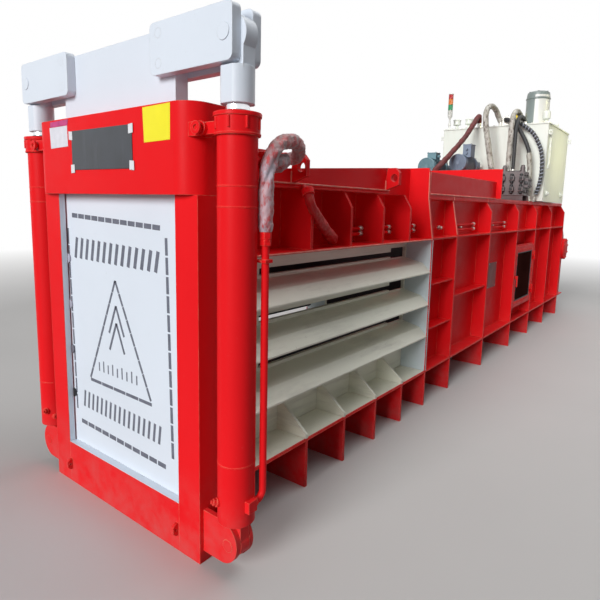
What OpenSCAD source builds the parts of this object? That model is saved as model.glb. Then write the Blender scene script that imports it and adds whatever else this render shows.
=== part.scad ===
// Horizontal recycling baler with a lifting bale gate, a feed hopper and a hydraulic power unit.
// X runs from the bale gate at the front to the power unit at the rear, Z is up, sizes in mm.

/* [Gate tower] */
// half the outer width of the tower
tower_half = 630; // [560:5:700]
// depth of the tower columns along the machine
tower_depth = 190; // [180:5:260]
// half the width of the doorway between the columns
door_half = 486; // [440:2:510]
// underside of the top beam above the floor
beam_low = 1650; // [1560:5:1720]
// top face of the top beam above the floor
beam_high = 2021; // [1960:1:2080]
// how far the top beam stands out in front of the columns
beam_proud = 40; // [20:2:60]
// radius of the rounded front corners of the top beam
beam_round = 100; // [60:5:120]
// height of the sill that the gate closes on
sill_high = 240; // [200:5:270]

/* [Gate and crosshead] */
// thickness of the gate slab
gate_thick = 100; // [80:2:110]
// half the width of the gate slab inside its guides
gate_half = 560; // [530:2:564]
// top of the wide part of the gate slab when shut
gate_high = 1690; // [1660:5:1760]
// half the width of the neck that reaches up to the crosshead
neck_half = 450; // [400:5:480]
// running gap between the gate slab and its guides
gate_gap = 7; // [5:0.5:8]
// thickness of each crosshead ear plate
ear_thick = 45; // [35:1:50]
// space between the front and rear ear plates
ear_gap = 66; // [56:1:70]
// lower edge of the ear plates
ear_low = 2145; // [2110:5:2180]
// upper edge of the ear plates
ear_high = 2355; // [2320:5:2400]
// inner end of the ear plates from the middle
ear_in = 340; // [300:5:380]
// outer end of the ear plates from the middle
ear_out = 830; // [815:5:860]
// radius of the ear plate corners
ear_round = 26; // [12:2:40]
// radius of the pins at the rod ends
eye_pin_r = 32; // [24:1:36]
// radius of the round guide pads
pad_r = 25; // [18:1:30]
// number of guide pads up each guide
pad_count = 4; // [2:1:5]
// height of the lowest guide pad
pad_low = 527; // [460:1:560]
// spacing of the guide pads
pad_pitch = 258; // [220:1:270]

/* [Lift cylinders] */
// distance of each lift cylinder from the middle of the machine
lift_y = 783; // [770:1:800]
// outer radius of the cylinder tubes
tube_r = 81.5; // [76:0.5:86]
// wall of the cylinder tubes
tube_wall = 10.5; // [8:0.5:14]
// radius of the piston rods
rod_r = 48; // [40:1:52]
// radius of the gland nut at the top of each tube
gland_r = 90; // [88:1:96]
// lower end of the tubes
tube_low = 258; // [250:2:266]
// underside of the gland
gland_low = 1879; // [1840:1:1900]
// top of the gland
gland_high = 1965; // [1930:1:1980]
// height of the pins at the foot of the tubes
foot_pin_z = 150; // [140:1:156]
// radius of the pins at the foot of the tubes
foot_pin_r = 28; // [20:1:32]
// thickness of the clevis plates at the foot
clevis_thick = 24; // [16:1:28]
// outer radius of the steel pipe beside each tube
pipe_r = 16; // [10:1:18]
// outer radius of the lift hoses
hose_r = 18; // [14:1:20]

/* [Frame] */
// half the width over the flanges and ribs
side_half = 608; // [590:1:620]
// height of the base flange above the floor
base_z = 297; // [280:1:320]
// top of the flange halfway up the sides
mid_z = 1378; // [1340:1:1400]
// top of the rim along the rear body
rim_z = 1725; // [1715:1:1740]
// thickness of the rim bars
rim_t = 40; // [30:1:48]
// half the width over the rim, the hopper walls and the long beams
rim_half = 556; // [545:1:568]
// thickness of the flanges and floor plates
flange_t = 12; // [8:1:16]
// thickness of the leg plates and gussets
leg_t = 20; // [14:1:26]
// half the width of the arch cut under each leg plate
arch_half = 300; // [250:5:360]
// rear end of the body
body_end = 7391; // [7380:1:7420]

/* [Bale chamber] */
// half the inner width of the bale chamber
chamber_half = 365; // [340:1:380]
// thickness of the chamber wall plates
wall_t = 25; // [16:1:30]
// x position of the first rib on the bale chamber
rib_first = 820; // [780:5:860]
// spacing of the ribs on the bale chamber
rib_pitch = 398; // [380:1:410]
// number of ribs on the bale chamber
rib_count = 4; // [2:1:4]
// x position of the wall at the rear of the bale chamber
chamber_end = 2430; // [2410:1:2450]
// height of the inner upper edge of the top side rail
rail_top = 1215; // [1190:1:1230]
// spacing of the side rails
rail_pitch = 262; // [250:1:270]
// number of side rails on each side
rail_count = 3; // [1:1:3]
// fall of a side rail's upper face from the wall to its fold
rail_fall = 36; // [20:2:60]
// distance of the fold from the middle of the machine
rail_fold = 540; // [480:5:570]
// height of a side rail from its inner edge to its underside
rail_drop = 112; // [90:2:130]
// height of the strapping slots
slot_h = 37; // [24:1:44]
// underside of the long beams above the chamber
top_rail_low = 1705; // [1690:1:1715]
// height of the long beams' line at the hopper
top_rail_h = 221; // [205:1:240]
// rise of the long beams' tops from the tower to the hopper
top_rise = 156; // [100:2:164]
// thickness of the lifting lugs
lug_t = 30; // [20:1:36]
// radius of the hole in the lifting lugs
lug_hole_r = 25; // [18:1:28]

/* [Rear body and hopper] */
// depth of the body's ribs, from its side walls out to the edge of the flanges
rib_depth = 128; // [108:1:136]
// rear end of the feed hopper
hopper_end = 4100; // [4060:5:4140]
// height of the hopper's side walls above the rim
hopper_h = 172; // [150:1:196]
// height of the hopper's rear wall above the rim
hopper_back_h = 303; // [270:1:340]
// thickness of the hopper plates
hopper_t = 15; // [10:1:18]
// thickness of the ribs on the rear body
rib_t = 24; // [16:1:28]
// height of the stiffener behind the first rear rib
stiff_z = 835; // [760:5:900]

/* [Ram and main cylinder] */
// length of the ram
ram_len = 2380; // [2100:20:2400]
// half the width of the ram
ram_half = 350; // [335:1:352]
// top of the ram
ram_high = 1350; // [1300:1:1352]
// height of the main cylinder axis
main_z = 1020; // [950:5:1030]
// outer radius of the main cylinder tube
main_r = 130; // [110:2:140]
// radius of the main piston rod
main_rod_r = 80; // [60:2:90]
// radius of the trunnion shafts
trunnion_r = 60; // [45:1:70]
// radius of the round caps over the trunnions
trunnion_cap_r = 164; // [140:2:164]

/* [Access door] */
// lower edge of the access door
door_low = 452; // [440:2:520]
// upper edge of the access door
door_high = 1188; // [1100:2:1200]
// thickness of the access door
door_t = 16; // [10:1:20]
// width of the frame around the door pane
door_border = 78; // [60:2:100]
// radius of the hinge pins
hinge_pin_r = 7; // [5:0.5:8]

/* [Power unit] */
// front face of the oil tank
tank_x = 5600; // [5540:5:5660]
// length of the oil tank
tank_len = 1190; // [1100:10:1300]
// half the width of the oil tank
tank_half = 670; // [620:5:690]
// height of the oil tank's underside above the rim
tank_gap = 6; // [4:1:30]
// top of the oil tank
tank_high = 2680; // [2600:5:2720]
// radius of the filter housing on the tank
filter_r = 142; // [110:2:150]
// height of the filter housing on the tank
filter_h = 456; // [380:4:500]
// radius of the motors
motor_r = 110; // [100:1:118]
// length of the motors
motor_len = 400; // [360:5:420]
// outer radius of the oil hoses
oil_hose_r = 28; // [20:1:32]
// length of the valve block
block_len = 230; // [180:5:260]
// radius of the signal light
light_r = 33; // [26:1:38]
// height of one lens of the signal light
lens_h = 75; // [60:1:90]

/* [Hidden] */
$fn = 64;
touch = 0.3;
fit = 0.4;
weld = 6;
tail_end = body_end + 350;
plate_t = 4;
mid_x = (tail_end - beam_proud - plate_t) / 2;
lift_x = 74;
gate_face = lift_x - ear_gap / 2;
gate_low = sill_high + touch;
gate_back = gate_face + gate_thick;
slot_front = gate_face - gate_gap;
slot_back = gate_back + gate_gap;
slot_half = gate_half + 8;
ear_mid = (ear_low + ear_high) / 2;
neck_high = ear_high - 15;
neck_pin_y = (ear_in + neck_half) / 2;
neck_pin_r = 20;
neck_pin_step = 60;
stroke_floor = 300;
clevis_y = lift_y - 45;
clevis_z = foot_pin_z + 7;
clevis_r = tube_low - clevis_z - 1;
piston_h = 60;
bore_r = tube_r - tube_wall;
eye_r = 75;
eye_t = ear_gap - 1;
eye_sleeve_r = 67;
eye_low = gland_high + 34;
port_r = 22;
port_out = 114;
low_port_z = 349;
high_port_z = 1790;
pipe_x = lift_x + port_out * cos(46);
pipe_y = lift_y + port_out * sin(46);
high_x = lift_x + port_out * cos(20);
high_y = lift_y + port_out * sin(20);
pipe_top = 1510;
clamp_z = 1382;
hose_rise = 1740;
hose_bend = 100;
turn_r = 120;
gland_lug_x = 20;
gland_lug_y = 664;
gland_pin_r = 12;
gland_lug_z = 1909;
floor_z = base_z - flange_t;
wall_out = chamber_half + wall_t;
mid_low = mid_z - flange_t;
rim_low = rim_z - rim_t;
end_front = chamber_end - 12;
end_back = chamber_end + 12;
body_half = side_half - rib_depth;
body_in = body_half - wall_t;
top_rail_high = top_rail_low + top_rail_h;
hopper_high = rim_z + hopper_h;
hopper_back_high = rim_z + hopper_back_h;
tank_low = rim_z + tank_gap;
web_in = wall_out - hopper_t;
slot_up = 20;
slot_x0 = rib_first - 180;
slot_x1 = chamber_end - 280;
slot_x2 = chamber_end - 32;
rail_end = rib_first + 2 * rib_pitch + 134;
rail_wall = 10;
rail_foot = 24;
union_plate_high = 1880;
union_plate_end = 620;
lug_rows = [rib_first - 110, rib_first + 2 * rib_pitch + 110];
stiff_out = side_half - 16;
stiff_up = 160;
stiff_down = 208;
rib_top = rim_half - 6;
rib_corner_h = 95;
ribs = [for (i = [0 : rib_count - 1]) rib_first + i * rib_pitch];
end_wall = [[side_half, mid_z], [rim_half + 4, rim_low], [rim_half, top_rail_high - 30],
  [rim_half - 12, top_rail_high]];
rear_ribs = [2958, 3856, 4837, 5682, 6506, body_end - 14];
all_legs = concat(ribs, [chamber_end], rear_ribs);
door_front = rear_ribs[2] + rib_t / 2;
door_back = rear_ribs[3] - rib_t / 2;
door_y = 604;
door_edge = 13;
hinge_x = door_back - 6;
hinge_y = side_half + 12;
hinge_h = 48;
hinge_pin_h = 100;
hinge_rows = [door_low + 100, door_high - 200];
latch_x = door_front + door_edge + 38;
latch_z = (door_low + door_high) / 2;
ram_x = hopper_end + 10;
ram_low = base_z + 18;
ram_wall = 25;
ram_face_t = 50;
rod_pin_x = ram_x + 210;
rod_pin_r = 45;
main_x0 = ram_x + 590;
main_x1 = body_end + 300;
trunnion_x = body_end + 170;
tail_out = 560;
lid_t = 14;
lid_z = tank_high + lid_t;
drives = [[4400, 375, 2100], [4800, 150, 2170]];
bell_r = 92;
bell_len = 120;
pump_r = 64;
pump_len = 160;
shaft_r = 22;
suction_r = 30;
block_x = 5100;
block_y0 = -585;
block_y1 = -255;
block_high = 2130;
block_top = block_high - 60;
loop_x = 5300;
loop_r = 160;
front_loops = [-30, -325, -388];
long_hose_y = 205;
long_hose_x0 = 4290;
long_hose_x1 = 5640;
long_hose_z0 = 2030;
long_hose_z1 = 2830;
manifold_x = 5604;
fall_turn = 70;
fall_foot = 90;
fall_rows = [[5450, -210, 300], [5520, -290, 350]];
cap_x = 6000;
cap_y = -185;
cap_z = 2790;
light_x = 5690;
light_y = 640;
light_z = 2890;

module box(x0, x1, y0, y1, z0, z1) {
  translate([x0, y0, z0])
    cube([x1 - x0, y1 - y0, z1 - z0]);
}

module rod_z(x, y, z0, z1, r) {
  translate([x, y, z0])
    cylinder(h = z1 - z0, r = r);
}

module rod_x(x0, x1, y, z, r) {
  translate([x0, y, z])
    rotate([0, 90, 0])
      cylinder(h = x1 - x0, r = r);
}

module rod_y(x, y0, y1, z, r) {
  translate([x, y1, z])
    rotate([90, 0, 0])
      cylinder(h = y1 - y0, r = r);
}

// a flat outline drawn in Y and Z, made solid along X
module along_x(x0, x1) {
  translate([x0, 0, 0])
    rotate([90, 0, 90])
      linear_extrude(x1 - x0)
        children();
}

// a flat outline drawn in X and Z, made solid along Y
module along_y(y0, y1) {
  translate([0, y1, 0])
    rotate([90, 0, 0])
      linear_extrude(y1 - y0)
        children();
}

module both_sides() {
  children();
  mirror([0, 1, 0])
    children();
}

module placed() {
  translate([-mid_x, 0, 0])
    children();
}

module round_plate(x0, x1, y0, y1, r) {
  translate([x0 + r, y0])
    square([x1 - x0 - 2 * r, y1 - y0]);
  translate([x0, y0 + r])
    square([x1 - x0, y1 - y0 - 2 * r]);
  for (x = [x0 + r, x1 - r])
    for (y = [y0 + r, y1 - r])
      translate([x, y])
        circle(r = r);
}

// two guide channels welded from plate, open towards the gate
module tower_columns() {
  color("#d8222a")
    placed()
      both_sides()
        linear_extrude(beam_low)
          difference() {
            translate([0, door_half])
              square([tower_depth, tower_half - door_half]);
            translate([slot_front, door_half - 1])
              square([slot_back - slot_front, slot_half - door_half + 1]);
          }
}

// the cross member the gate closes on, with two small hooks
module tower_sill() {
  hook_y = door_half - 14;
  color("#d8222a")
    placed() {
      difference() {
        box(0, tower_depth, -door_half, door_half, 0, sill_high);
        box(wall_t, tower_depth - wall_t, -door_half - 1, door_half + 1, -1, sill_high - wall_t);
      }
      both_sides()
        difference() {
          along_y(hook_y - 8, hook_y + 8)
            polygon([[0, 80], [-14, 80], [-30, 96], [-30, 128], [-14, 140], [0, 140]]);
          rod_y(-16, hook_y - 9, hook_y + 9, 110, 8);
        }
    }
}

// the top beam closes round the gate slot and its front corners are rounded
module beam_outline() {
  translate([-beam_proud + beam_round, -tower_half])
    square([tower_depth + beam_proud - beam_round, 2 * tower_half]);
  translate([-beam_proud, -tower_half + beam_round])
    square([tower_depth + beam_proud, 2 * (tower_half - beam_round)]);
  for (s = [-1, 1])
    translate([-beam_proud + beam_round, s * (tower_half - beam_round)])
      circle(r = beam_round);
}

module tower_beam() {
  color("#d8222a")
    placed()
      translate([0, 0, beam_low])
        linear_extrude(beam_high - beam_low)
          difference() {
            beam_outline();
            translate([slot_front, -slot_half])
              square([slot_back - slot_front, 2 * slot_half]);
          }
}

// bare plates on the front of the beam: one black, one yellow, one small white
module beam_plates() {
  face = -beam_proud;
  color("#1c1d1f")
    placed() {
      box(face - plate_t, face, -255, 250, 1765, 1955);
      box(face - 2, face, -515, -330, 1868, 2016);
      box(face - 2, face, 290, 470, 1880, 1985);
    }
}

// round pads on both guide faces, half of each stands clear of the column edge
module gate_pads() {
  color("#3a3d40")
    placed()
      both_sides()
        for (i = [0 : pad_count - 1]) {
          rod_x(slot_front, gate_face - fit, door_half, pad_low + i * pad_pitch, pad_r);
          rod_x(gate_back + fit, slot_back, door_half, pad_low + i * pad_pitch, pad_r);
        }
}

module gate() {
  color("#dfe6ee")
    placed()
      difference() {
        union() {
          box(gate_face, gate_back, -gate_half, gate_half, gate_low, gate_high);
          box(gate_face, gate_face + ear_gap, -neck_half, neck_half, gate_high - 1, neck_high);
        }
        for (s = [-1, 1])
          for (d = [-1, 1])
            rod_x(0, gate_back, s * neck_pin_y, ear_mid + d * neck_pin_step, neck_pin_r);
      }
}

// four ear plates: a front and a rear one at each end of the crosshead
module crosshead_ears() {
  color("#dfe6ee")
    placed()
      both_sides()
        for (x = [gate_face - ear_thick, gate_face + ear_gap])
          along_x(x, x + ear_thick)
            difference() {
              round_plate(ear_in, ear_out, ear_low, ear_high, ear_round);
              translate([lift_y, ear_mid])
                circle(r = eye_pin_r);
              for (d = [-1, 1])
                translate([neck_pin_y, ear_mid + d * neck_pin_step])
                  circle(r = neck_pin_r);
            }
}

module crosshead_pins() {
  x0 = gate_face - ear_thick;
  x1 = gate_face + ear_gap + ear_thick;
  proud = 3;
  color("#dfe6ee")
    placed()
      both_sides() {
        rod_x(x0 - proud, x1 + proud, lift_y, ear_mid, eye_pin_r);
        for (d = [-1, 1])
          rod_x(x0, x1, neck_pin_y, ear_mid + d * neck_pin_step, neck_pin_r);
      }
}

module rod_eyes() {
  color("#cfd9e2")
    placed()
      both_sides()
        difference() {
          union() {
            rod_x(lift_x - eye_t / 2, lift_x + eye_t / 2, lift_y, ear_mid, eye_r);
            intersection() {
              rod_z(lift_x, lift_y, eye_low, ear_mid - 50, eye_sleeve_r);
              box(lift_x - 60, lift_x + 60, lift_y - 80, lift_y + 80, eye_low, ear_low - 8);
            }
            box(lift_x - eye_t / 2, lift_x + eye_t / 2, lift_y - 60, lift_y + 60,
              ear_low - 20, ear_mid - 40);
          }
          rod_x(lift_x - eye_t, lift_x + eye_t, lift_y, ear_mid, eye_pin_r);
        }
}

module lift_rods() {
  color("#c9cdd2")
    placed()
      both_sides() {
        rod_z(lift_x, lift_y, stroke_floor + piston_h, eye_low, rod_r);
        rod_z(lift_x, lift_y, stroke_floor, stroke_floor + piston_h, bore_r - touch);
      }
}

// tube with a closed lower end and the flat eye that stands in the clevis
module lift_tubes() {
  eye = 52;
  color("#c81f28")
    placed()
      both_sides() {
        difference() {
          rod_z(lift_x, lift_y, tube_low, gland_low, tube_r);
          rod_z(lift_x, lift_y, stroke_floor - weld, gland_low + 1, bore_r);
        }
        difference() {
          union() {
            rod_x(lift_x - eye / 2, lift_x + eye / 2, lift_y, foot_pin_z, 58);
            box(lift_x - eye / 2, lift_x + eye / 2, lift_y - 52, lift_y + 52, foot_pin_z, tube_low);
          }
          rod_x(lift_x - eye, lift_x + eye, lift_y, foot_pin_z, foot_pin_r);
        }
      }
}

module lift_glands() {
  color("#d8222a")
    placed()
      both_sides()
        difference() {
          union() {
            rod_z(lift_x, lift_y, gland_low, gland_high, gland_r);
            box(gland_lug_x - 20, gland_lug_x + 20, gland_lug_y - 20, lift_y,
              gland_lug_z - 24, gland_lug_z + 24);
          }
          rod_z(lift_x, lift_y, gland_low - 1, gland_high + 1, rod_r + touch);
          rod_x(gland_lug_x - 30, gland_lug_x + 30, gland_lug_y, gland_lug_z, gland_pin_r);
        }
}

// lugs on the beam that hold the gland ear, each with its headed pin
module gland_lugs() {
  head_x = gland_lug_x - 60;
  color("#d8222a")
    placed()
      both_sides() {
        for (x = [gland_lug_x - 36, gland_lug_x + 22])
          difference() {
            along_x(x, x + 14)
              union() {
                translate([gland_lug_y, gland_lug_z])
                  circle(r = 28);
                translate([tower_half - beam_round, gland_lug_z - 28])
                  square([gland_lug_y - tower_half + beam_round, 56]);
              }
            rod_x(x - 1, x + 15, gland_lug_y, gland_lug_z, gland_pin_r);
            translate([0, 0, beam_low])
              linear_extrude(beam_high - beam_low)
                beam_outline();
          }
        difference() {
          union() {
            rod_x(head_x, gland_lug_x + 42, gland_lug_y, gland_lug_z, gland_pin_r);
            rod_x(head_x, head_x + 10, gland_lug_y, gland_lug_z, gland_pin_r + 14);
          }
          rod_x(head_x - 1, head_x + 6, gland_lug_y, gland_lug_z, gland_pin_r - 1);
        }
      }
}

module foot_clevises() {
  color("#c81f28")
    placed()
      both_sides()
        for (x = [lift_x - 28 - clevis_thick, lift_x + 28])
          along_x(x, x + clevis_thick)
            difference() {
              union() {
                translate([clevis_y, clevis_z])
                  circle(r = clevis_r);
                translate([tower_half, clevis_z - clevis_r])
                  square([clevis_y - tower_half, 2 * clevis_r]);
              }
              translate([lift_y, foot_pin_z])
                circle(r = foot_pin_r);
            }
}

module foot_pins() {
  color("#7d848c")
    placed()
      both_sides()
        rod_x(lift_x - 30 - clevis_thick, lift_x + 30 + clevis_thick, lift_y, foot_pin_z, foot_pin_r);
}

module port(x, y, z) {
  reach = port_out;
  turn = atan2(y - lift_y, x - lift_x);
  difference() {
    union() {
      rod_z(x, y, z - 32, z + 32, port_r);
      translate([lift_x, lift_y, z])
        rotate([0, 0, turn])
          rotate([0, 90, 0])
            cylinder(h = reach, r = 17);
    }
    rod_z(lift_x, lift_y, z - 60, z + 60, tube_r);
  }
}

// elbow blocks on the tubes and the bulkhead unions on the long beams
module lift_ports() {
  color("#d8222a")
    placed()
      both_sides() {
        port(pipe_x, pipe_y, low_port_z);
        port(high_x, high_y, high_port_z);
        rod_y(pipe_x + hose_bend + 170 + turn_r, rim_half, 640, hose_rise + hose_bend, 24);
        rod_y(high_x + 130 + hose_bend, rim_half, 640, high_port_z, 24);
      }
}

module lift_pipes() {
  color("#d8222a")
    placed()
      both_sides() {
        rod_z(pipe_x, pipe_y, low_port_z + 32, pipe_top, pipe_r);
        rod_z(pipe_x, pipe_y, pipe_top - 46, pipe_top, pipe_r + 7);
        difference() {
          box(pipe_x - 22, pipe_x + 22, pipe_y - 22, pipe_y + 22, clamp_z, clamp_z + 14);
          rod_z(lift_x, lift_y, clamp_z - 1, clamp_z + 15, tube_r);
          rod_z(pipe_x, pipe_y, clamp_z - 1, clamp_z + 15, pipe_r);
        }
      }
}

module quarter(r_bend, r_hose) {
  rotate_extrude(angle = 90)
    translate([r_bend, 0])
      circle(r = r_hose);
}

// one hose climbs from the pipe, the other leaves the upper port; both end in a bulkhead union
module lift_hoses() {
  x1 = pipe_x + hose_bend;
  x2 = x1 + 170;
  z1 = hose_rise + hose_bend;
  x3 = high_x + 130;
  color("#e9b9c0")
    placed()
      both_sides() {
        rod_z(pipe_x, pipe_y, pipe_top, hose_rise, hose_r);
        translate([x1, pipe_y, hose_rise])
          rotate([90, 0, 180])
            quarter(hose_bend, hose_r);
        rod_x(x1, x2, pipe_y, z1, hose_r);
        translate([x2, pipe_y - turn_r, z1])
          quarter(turn_r, hose_r);
        rod_y(x2 + turn_r, 640, pipe_y - turn_r, z1, hose_r);
        difference() {
          rod_x(high_x, x3, high_y, high_port_z, hose_r);
          rod_z(high_x, high_y, high_port_z - 32, high_port_z + 32, port_r);
        }
        translate([x3, high_y - hose_bend, high_port_z])
          quarter(hose_bend, hose_r);
        rod_y(x3 + hose_bend, 640, high_y - hose_bend, high_port_z, hose_r);
      }
}

// inner wall plates; each strapping slot lies just above a side rail and widens at its rear end
module chamber_walls() {
  color("#cfd3d6")
    placed()
      both_sides()
        difference() {
          box(tower_depth, hopper_end, chamber_half, wall_out, base_z, mid_low);
          for (i = [0 : rail_count - 1]) {
            z = rail_top - i * rail_pitch + slot_up;
            box(slot_x0, slot_x1 + 1, chamber_half - 1, wall_out + 1, z, z + slot_h);
            box(slot_x1, slot_x2, chamber_half - 1, wall_out + 1, z - 14, z + slot_h + 30);
          }
        }
}

// box rails whose upper side falls in two steps, folded from plate
module chamber_rails() {
  t = 10;
  color("#e6e8ea")
    placed()
      both_sides()
        for (i = [0 : rail_count - 1])
          translate([0, 0, rail_top - i * rail_pitch])
            along_x(tower_depth, end_front)
              difference() {
                polygon([[wall_out, 0], [rail_fold, -rail_fall], [side_half, t - rail_drop],
                  [side_half, -rail_drop], [wall_out, -rail_drop]]);
                polygon([[wall_out + t, -t - 3], [rail_fold - 4, -rail_fall - t],
                  [side_half - 21, t - rail_drop], [wall_out + t, t - rail_drop]]);
              }
}

module chamber_gussets() {
  color("#e6e8ea")
    placed()
      both_sides()
        for (x = ribs)
          along_x(x - leg_t / 2, x + leg_t / 2)
            polygon([[wall_out, base_z], [side_half, base_z], [side_half, base_z + 24],
              [wall_out + 12, base_z + 196], [wall_out, base_z + 196]]);
}

// white transverse plates that close the rear of the side bays
module chamber_ends() {
  color("#e6e8ea")
    placed()
      both_sides()
        box(end_front, end_back, wall_out, side_half, base_z, mid_low);
}

module chamber_floor() {
  color("#8e9398")
    placed()
      box(tower_depth, hopper_end, -chamber_half, chamber_half, floor_z, base_z);
}

module chamber_roof() {
  color("#d8222a")
    placed()
      box(tower_depth, end_front, -wall_out, wall_out, mid_low, mid_z);
}

// height of the rising top above the chamber at a distance x from the tower's front
function roof_at(x) = top_rail_high - top_rise * (end_front - x) / (end_front - tower_depth);

// a long shape drawn from above low up to a line that keeps a distance below the rising top
module under_roof(x0, x1, y0, y1, low, below) {
  along_y(y0, y1)
    polygon([[x0, low], [x1, low], [x1, roof_at(x1) - below], [x0, roof_at(x0) - below]]);
}

// two long webs above the chamber and the deck plate between them
module upper_webs() {
  color("#d8222a")
    placed() {
      both_sides()
        under_roof(tower_depth, end_front, web_in, wall_out, mid_z, 0);
      along_y(-web_in, web_in)
        polygon([[tower_depth, roof_at(tower_depth) - flange_t], [end_front, top_rail_high - flange_t],
          [end_front, top_rail_high], [tower_depth, roof_at(tower_depth)]]);
    }
}

// hollow beams along the webs with a slanted foot, and the plates that take the hose unions
module upper_rails() {
  t = rail_wall;
  color("#e8252c")
    placed()
      both_sides() {
        difference() {
          under_roof(tower_depth, rail_end, wall_out, rim_half, top_rail_low, 0);
          under_roof(tower_depth - 1, rail_end - t, wall_out + t, rim_half - t, top_rail_low + t, t);
        }
        along_x(tower_depth, rail_end)
          polygon([[rim_half, top_rail_low], [rim_half + 8, top_rail_low],
            [rim_half + 8, top_rail_low + 8], [rim_half, top_rail_low + rail_foot]]);
        box(tower_depth, union_plate_end, rim_half - t, rim_half, top_rail_low + t, union_plate_high);
      }
}

// outer ribs, cross webs under the deck and the wall in front of the hopper
module upper_ribs() {
  color("#d8222a")
    placed() {
      both_sides()
        for (x = ribs)
          along_x(x - leg_t / 2, x + leg_t / 2)
            polygon([[wall_out, mid_z], [side_half, mid_z], [side_half, top_rail_low - rib_corner_h],
              [rib_top, top_rail_low], [wall_out, top_rail_low]]);
      for (x = ribs)
        under_roof(x - leg_t / 2, x + leg_t / 2, -web_in + touch, web_in - touch, mid_z, flange_t + touch);
      along_x(end_front, end_back)
        polygon(concat(end_wall, [for (i = [3 : -1 : 0]) [-end_wall[i][0], end_wall[i][1]]]));
    }
}

// round-cornered ears on the long beams, with a hole for a shackle
module lifting_lugs() {
  lug_out = side_half + 46;
  hole_y = side_half + 12;
  hole_z = top_rail_low + 105;
  color("#d8222a")
    placed()
      both_sides()
        for (x = lug_rows)
          along_x(x - lug_t / 2, x + lug_t / 2)
            difference() {
              polygon([[rim_half, top_rail_low + rail_foot], [lug_out, top_rail_low + 60],
                [lug_out, top_rail_low + 140], [lug_out - 26, top_rail_low + 170],
                [rim_half + 12, top_rail_low + 170], [rim_half, top_rail_low + 90]]);
              translate([hole_y, hole_z])
                circle(r = lug_hole_r);
            }
}

// the flange halfway up the sides and the rim round the top of the rear body
module side_flanges() {
  color("#d8222a")
    placed()
      both_sides() {
        box(tower_depth, body_end, wall_out, side_half, mid_low, mid_z);
        box(end_back, body_end, body_in, rim_half, rim_low, rim_z);
      }
}

module base_flanges() {
  color("#d8222a")
    placed()
      both_sides()
        box(tower_depth, tail_end, chamber_half, side_half, floor_z, base_z);
}

// transverse leg plates, arched in the middle
module leg_plates() {
  color("#b81d26")
    placed()
      for (x = all_legs)
        along_x(x - leg_t / 2, x + leg_t / 2)
          difference() {
            translate([-side_half, 0])
              square([2 * side_half, floor_z]);
            translate([-arch_half, -1])
              square([2 * arch_half, floor_z - 110]);
          }
}

module body_walls() {
  color("#c81f28")
    placed() {
      both_sides()
        box(end_back, body_end, body_in, body_half, mid_z, rim_low);
      box(end_back, body_end, body_in, body_half, base_z, mid_low);
      difference() {
        box(end_back, body_end, -body_half, -body_in, base_z, mid_low);
        box(door_front + 50, door_back - 50, -body_half - 1, -body_in + 1, door_low + 48, door_high - 38);
      }
    }
}

// deep ribs under the mid flange, short ribs cut slanting above it, stiffeners in the front bays
module body_ribs() {
  color("#c81f28")
    placed()
      both_sides() {
        for (x = rear_ribs)
          box(x - rib_t / 2, x + rib_t / 2, body_half, side_half, base_z, mid_low);
        for (i = [0 : len(rear_ribs) - 1])
          along_x(rear_ribs[i] - rib_t / 2, rear_ribs[i] + rib_t / 2)
            polygon([[body_half, mid_z], [side_half, mid_z],
              [side_half, i == 0 ? mid_z + flange_t : rim_low - rib_corner_h],
              [rib_top, rim_low], [body_half, rim_low]]);
        for (z = [stiff_z + stiff_up, stiff_z - stiff_down])
          box(end_back, rear_ribs[0] - rib_t / 2 - touch, body_half, stiff_out, z, z + flange_t);
        box(rear_ribs[0] + rib_t / 2 + touch, rear_ribs[1] - rib_t / 2 - touch,
          body_half, stiff_out, stiff_z, stiff_z + flange_t);
      }
}

module body_floor() {
  color("#8e9398")
    placed()
      box(hopper_end, tail_end, -chamber_half, chamber_half, floor_z, base_z);
}

module body_cover() {
  color("#d8222a")
    placed()
      box(hopper_end + hopper_t, body_end, -body_in, body_in, rim_z - flange_t, rim_z);
}

// rear wall with a hole for the main cylinder, and the two plates that carry its trunnions
module rear_frame() {
  color("#c81f28")
    placed() {
      difference() {
        box(body_end, body_end + 24, -body_in, body_in, base_z, rim_z);
        rod_x(body_end - 1, body_end + 25, 0, main_z, main_r + 30);
      }
      both_sides()
        difference() {
          along_y(body_in, tail_out)
            polygon([[body_end, base_z], [tail_end, base_z], [tail_end, main_z + 190],
              [tail_end - 90, main_z + 290], [body_end, main_z + 290]]);
          rod_y(trunnion_x, body_in - 1, tail_out + 1, main_z, trunnion_r + touch);
        }
    }
}

module hopper_walls() {
  color("#d8222a")
    placed()
      both_sides()
        box(end_back, hopper_end, rim_half - hopper_t, rim_half, rim_z, hopper_high);
}

module hopper_back() {
  color("#d8222a")
    placed()
      along_x(hopper_end, hopper_end + hopper_t)
        union() {
          translate([-body_in, mid_z])
            square([2 * body_in, rim_z - mid_z]);
          translate([-side_half, rim_z])
            square([2 * side_half, hopper_back_high - rim_z]);
        }
}

module shear_blade() {
  color("#a9adb1")
    placed()
      box(end_back, end_back + 40, -chamber_half + 4, chamber_half - 4, ram_high + 3, mid_z + 35);
}

// hollow ram, open at the rear, with the two lugs that take the rod end
module ram() {
  lug0 = 55;
  lug1 = 95;
  color("#7c8086")
    placed()
      difference() {
        union() {
          difference() {
            box(ram_x, ram_x + ram_len, -ram_half, ram_half, ram_low, ram_high);
            box(ram_x + ram_face_t, ram_x + ram_len + 1, -ram_half + ram_wall, ram_half - ram_wall,
              ram_low + ram_wall, ram_high - ram_wall);
          }
          both_sides()
            box(ram_x + ram_face_t - 1, rod_pin_x + 90, lug0, lug1, main_z - 90, main_z + 90);
        }
        rod_y(rod_pin_x, -lug1 - 1, lug1 + 1, main_z, rod_pin_r);
      }
}

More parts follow.
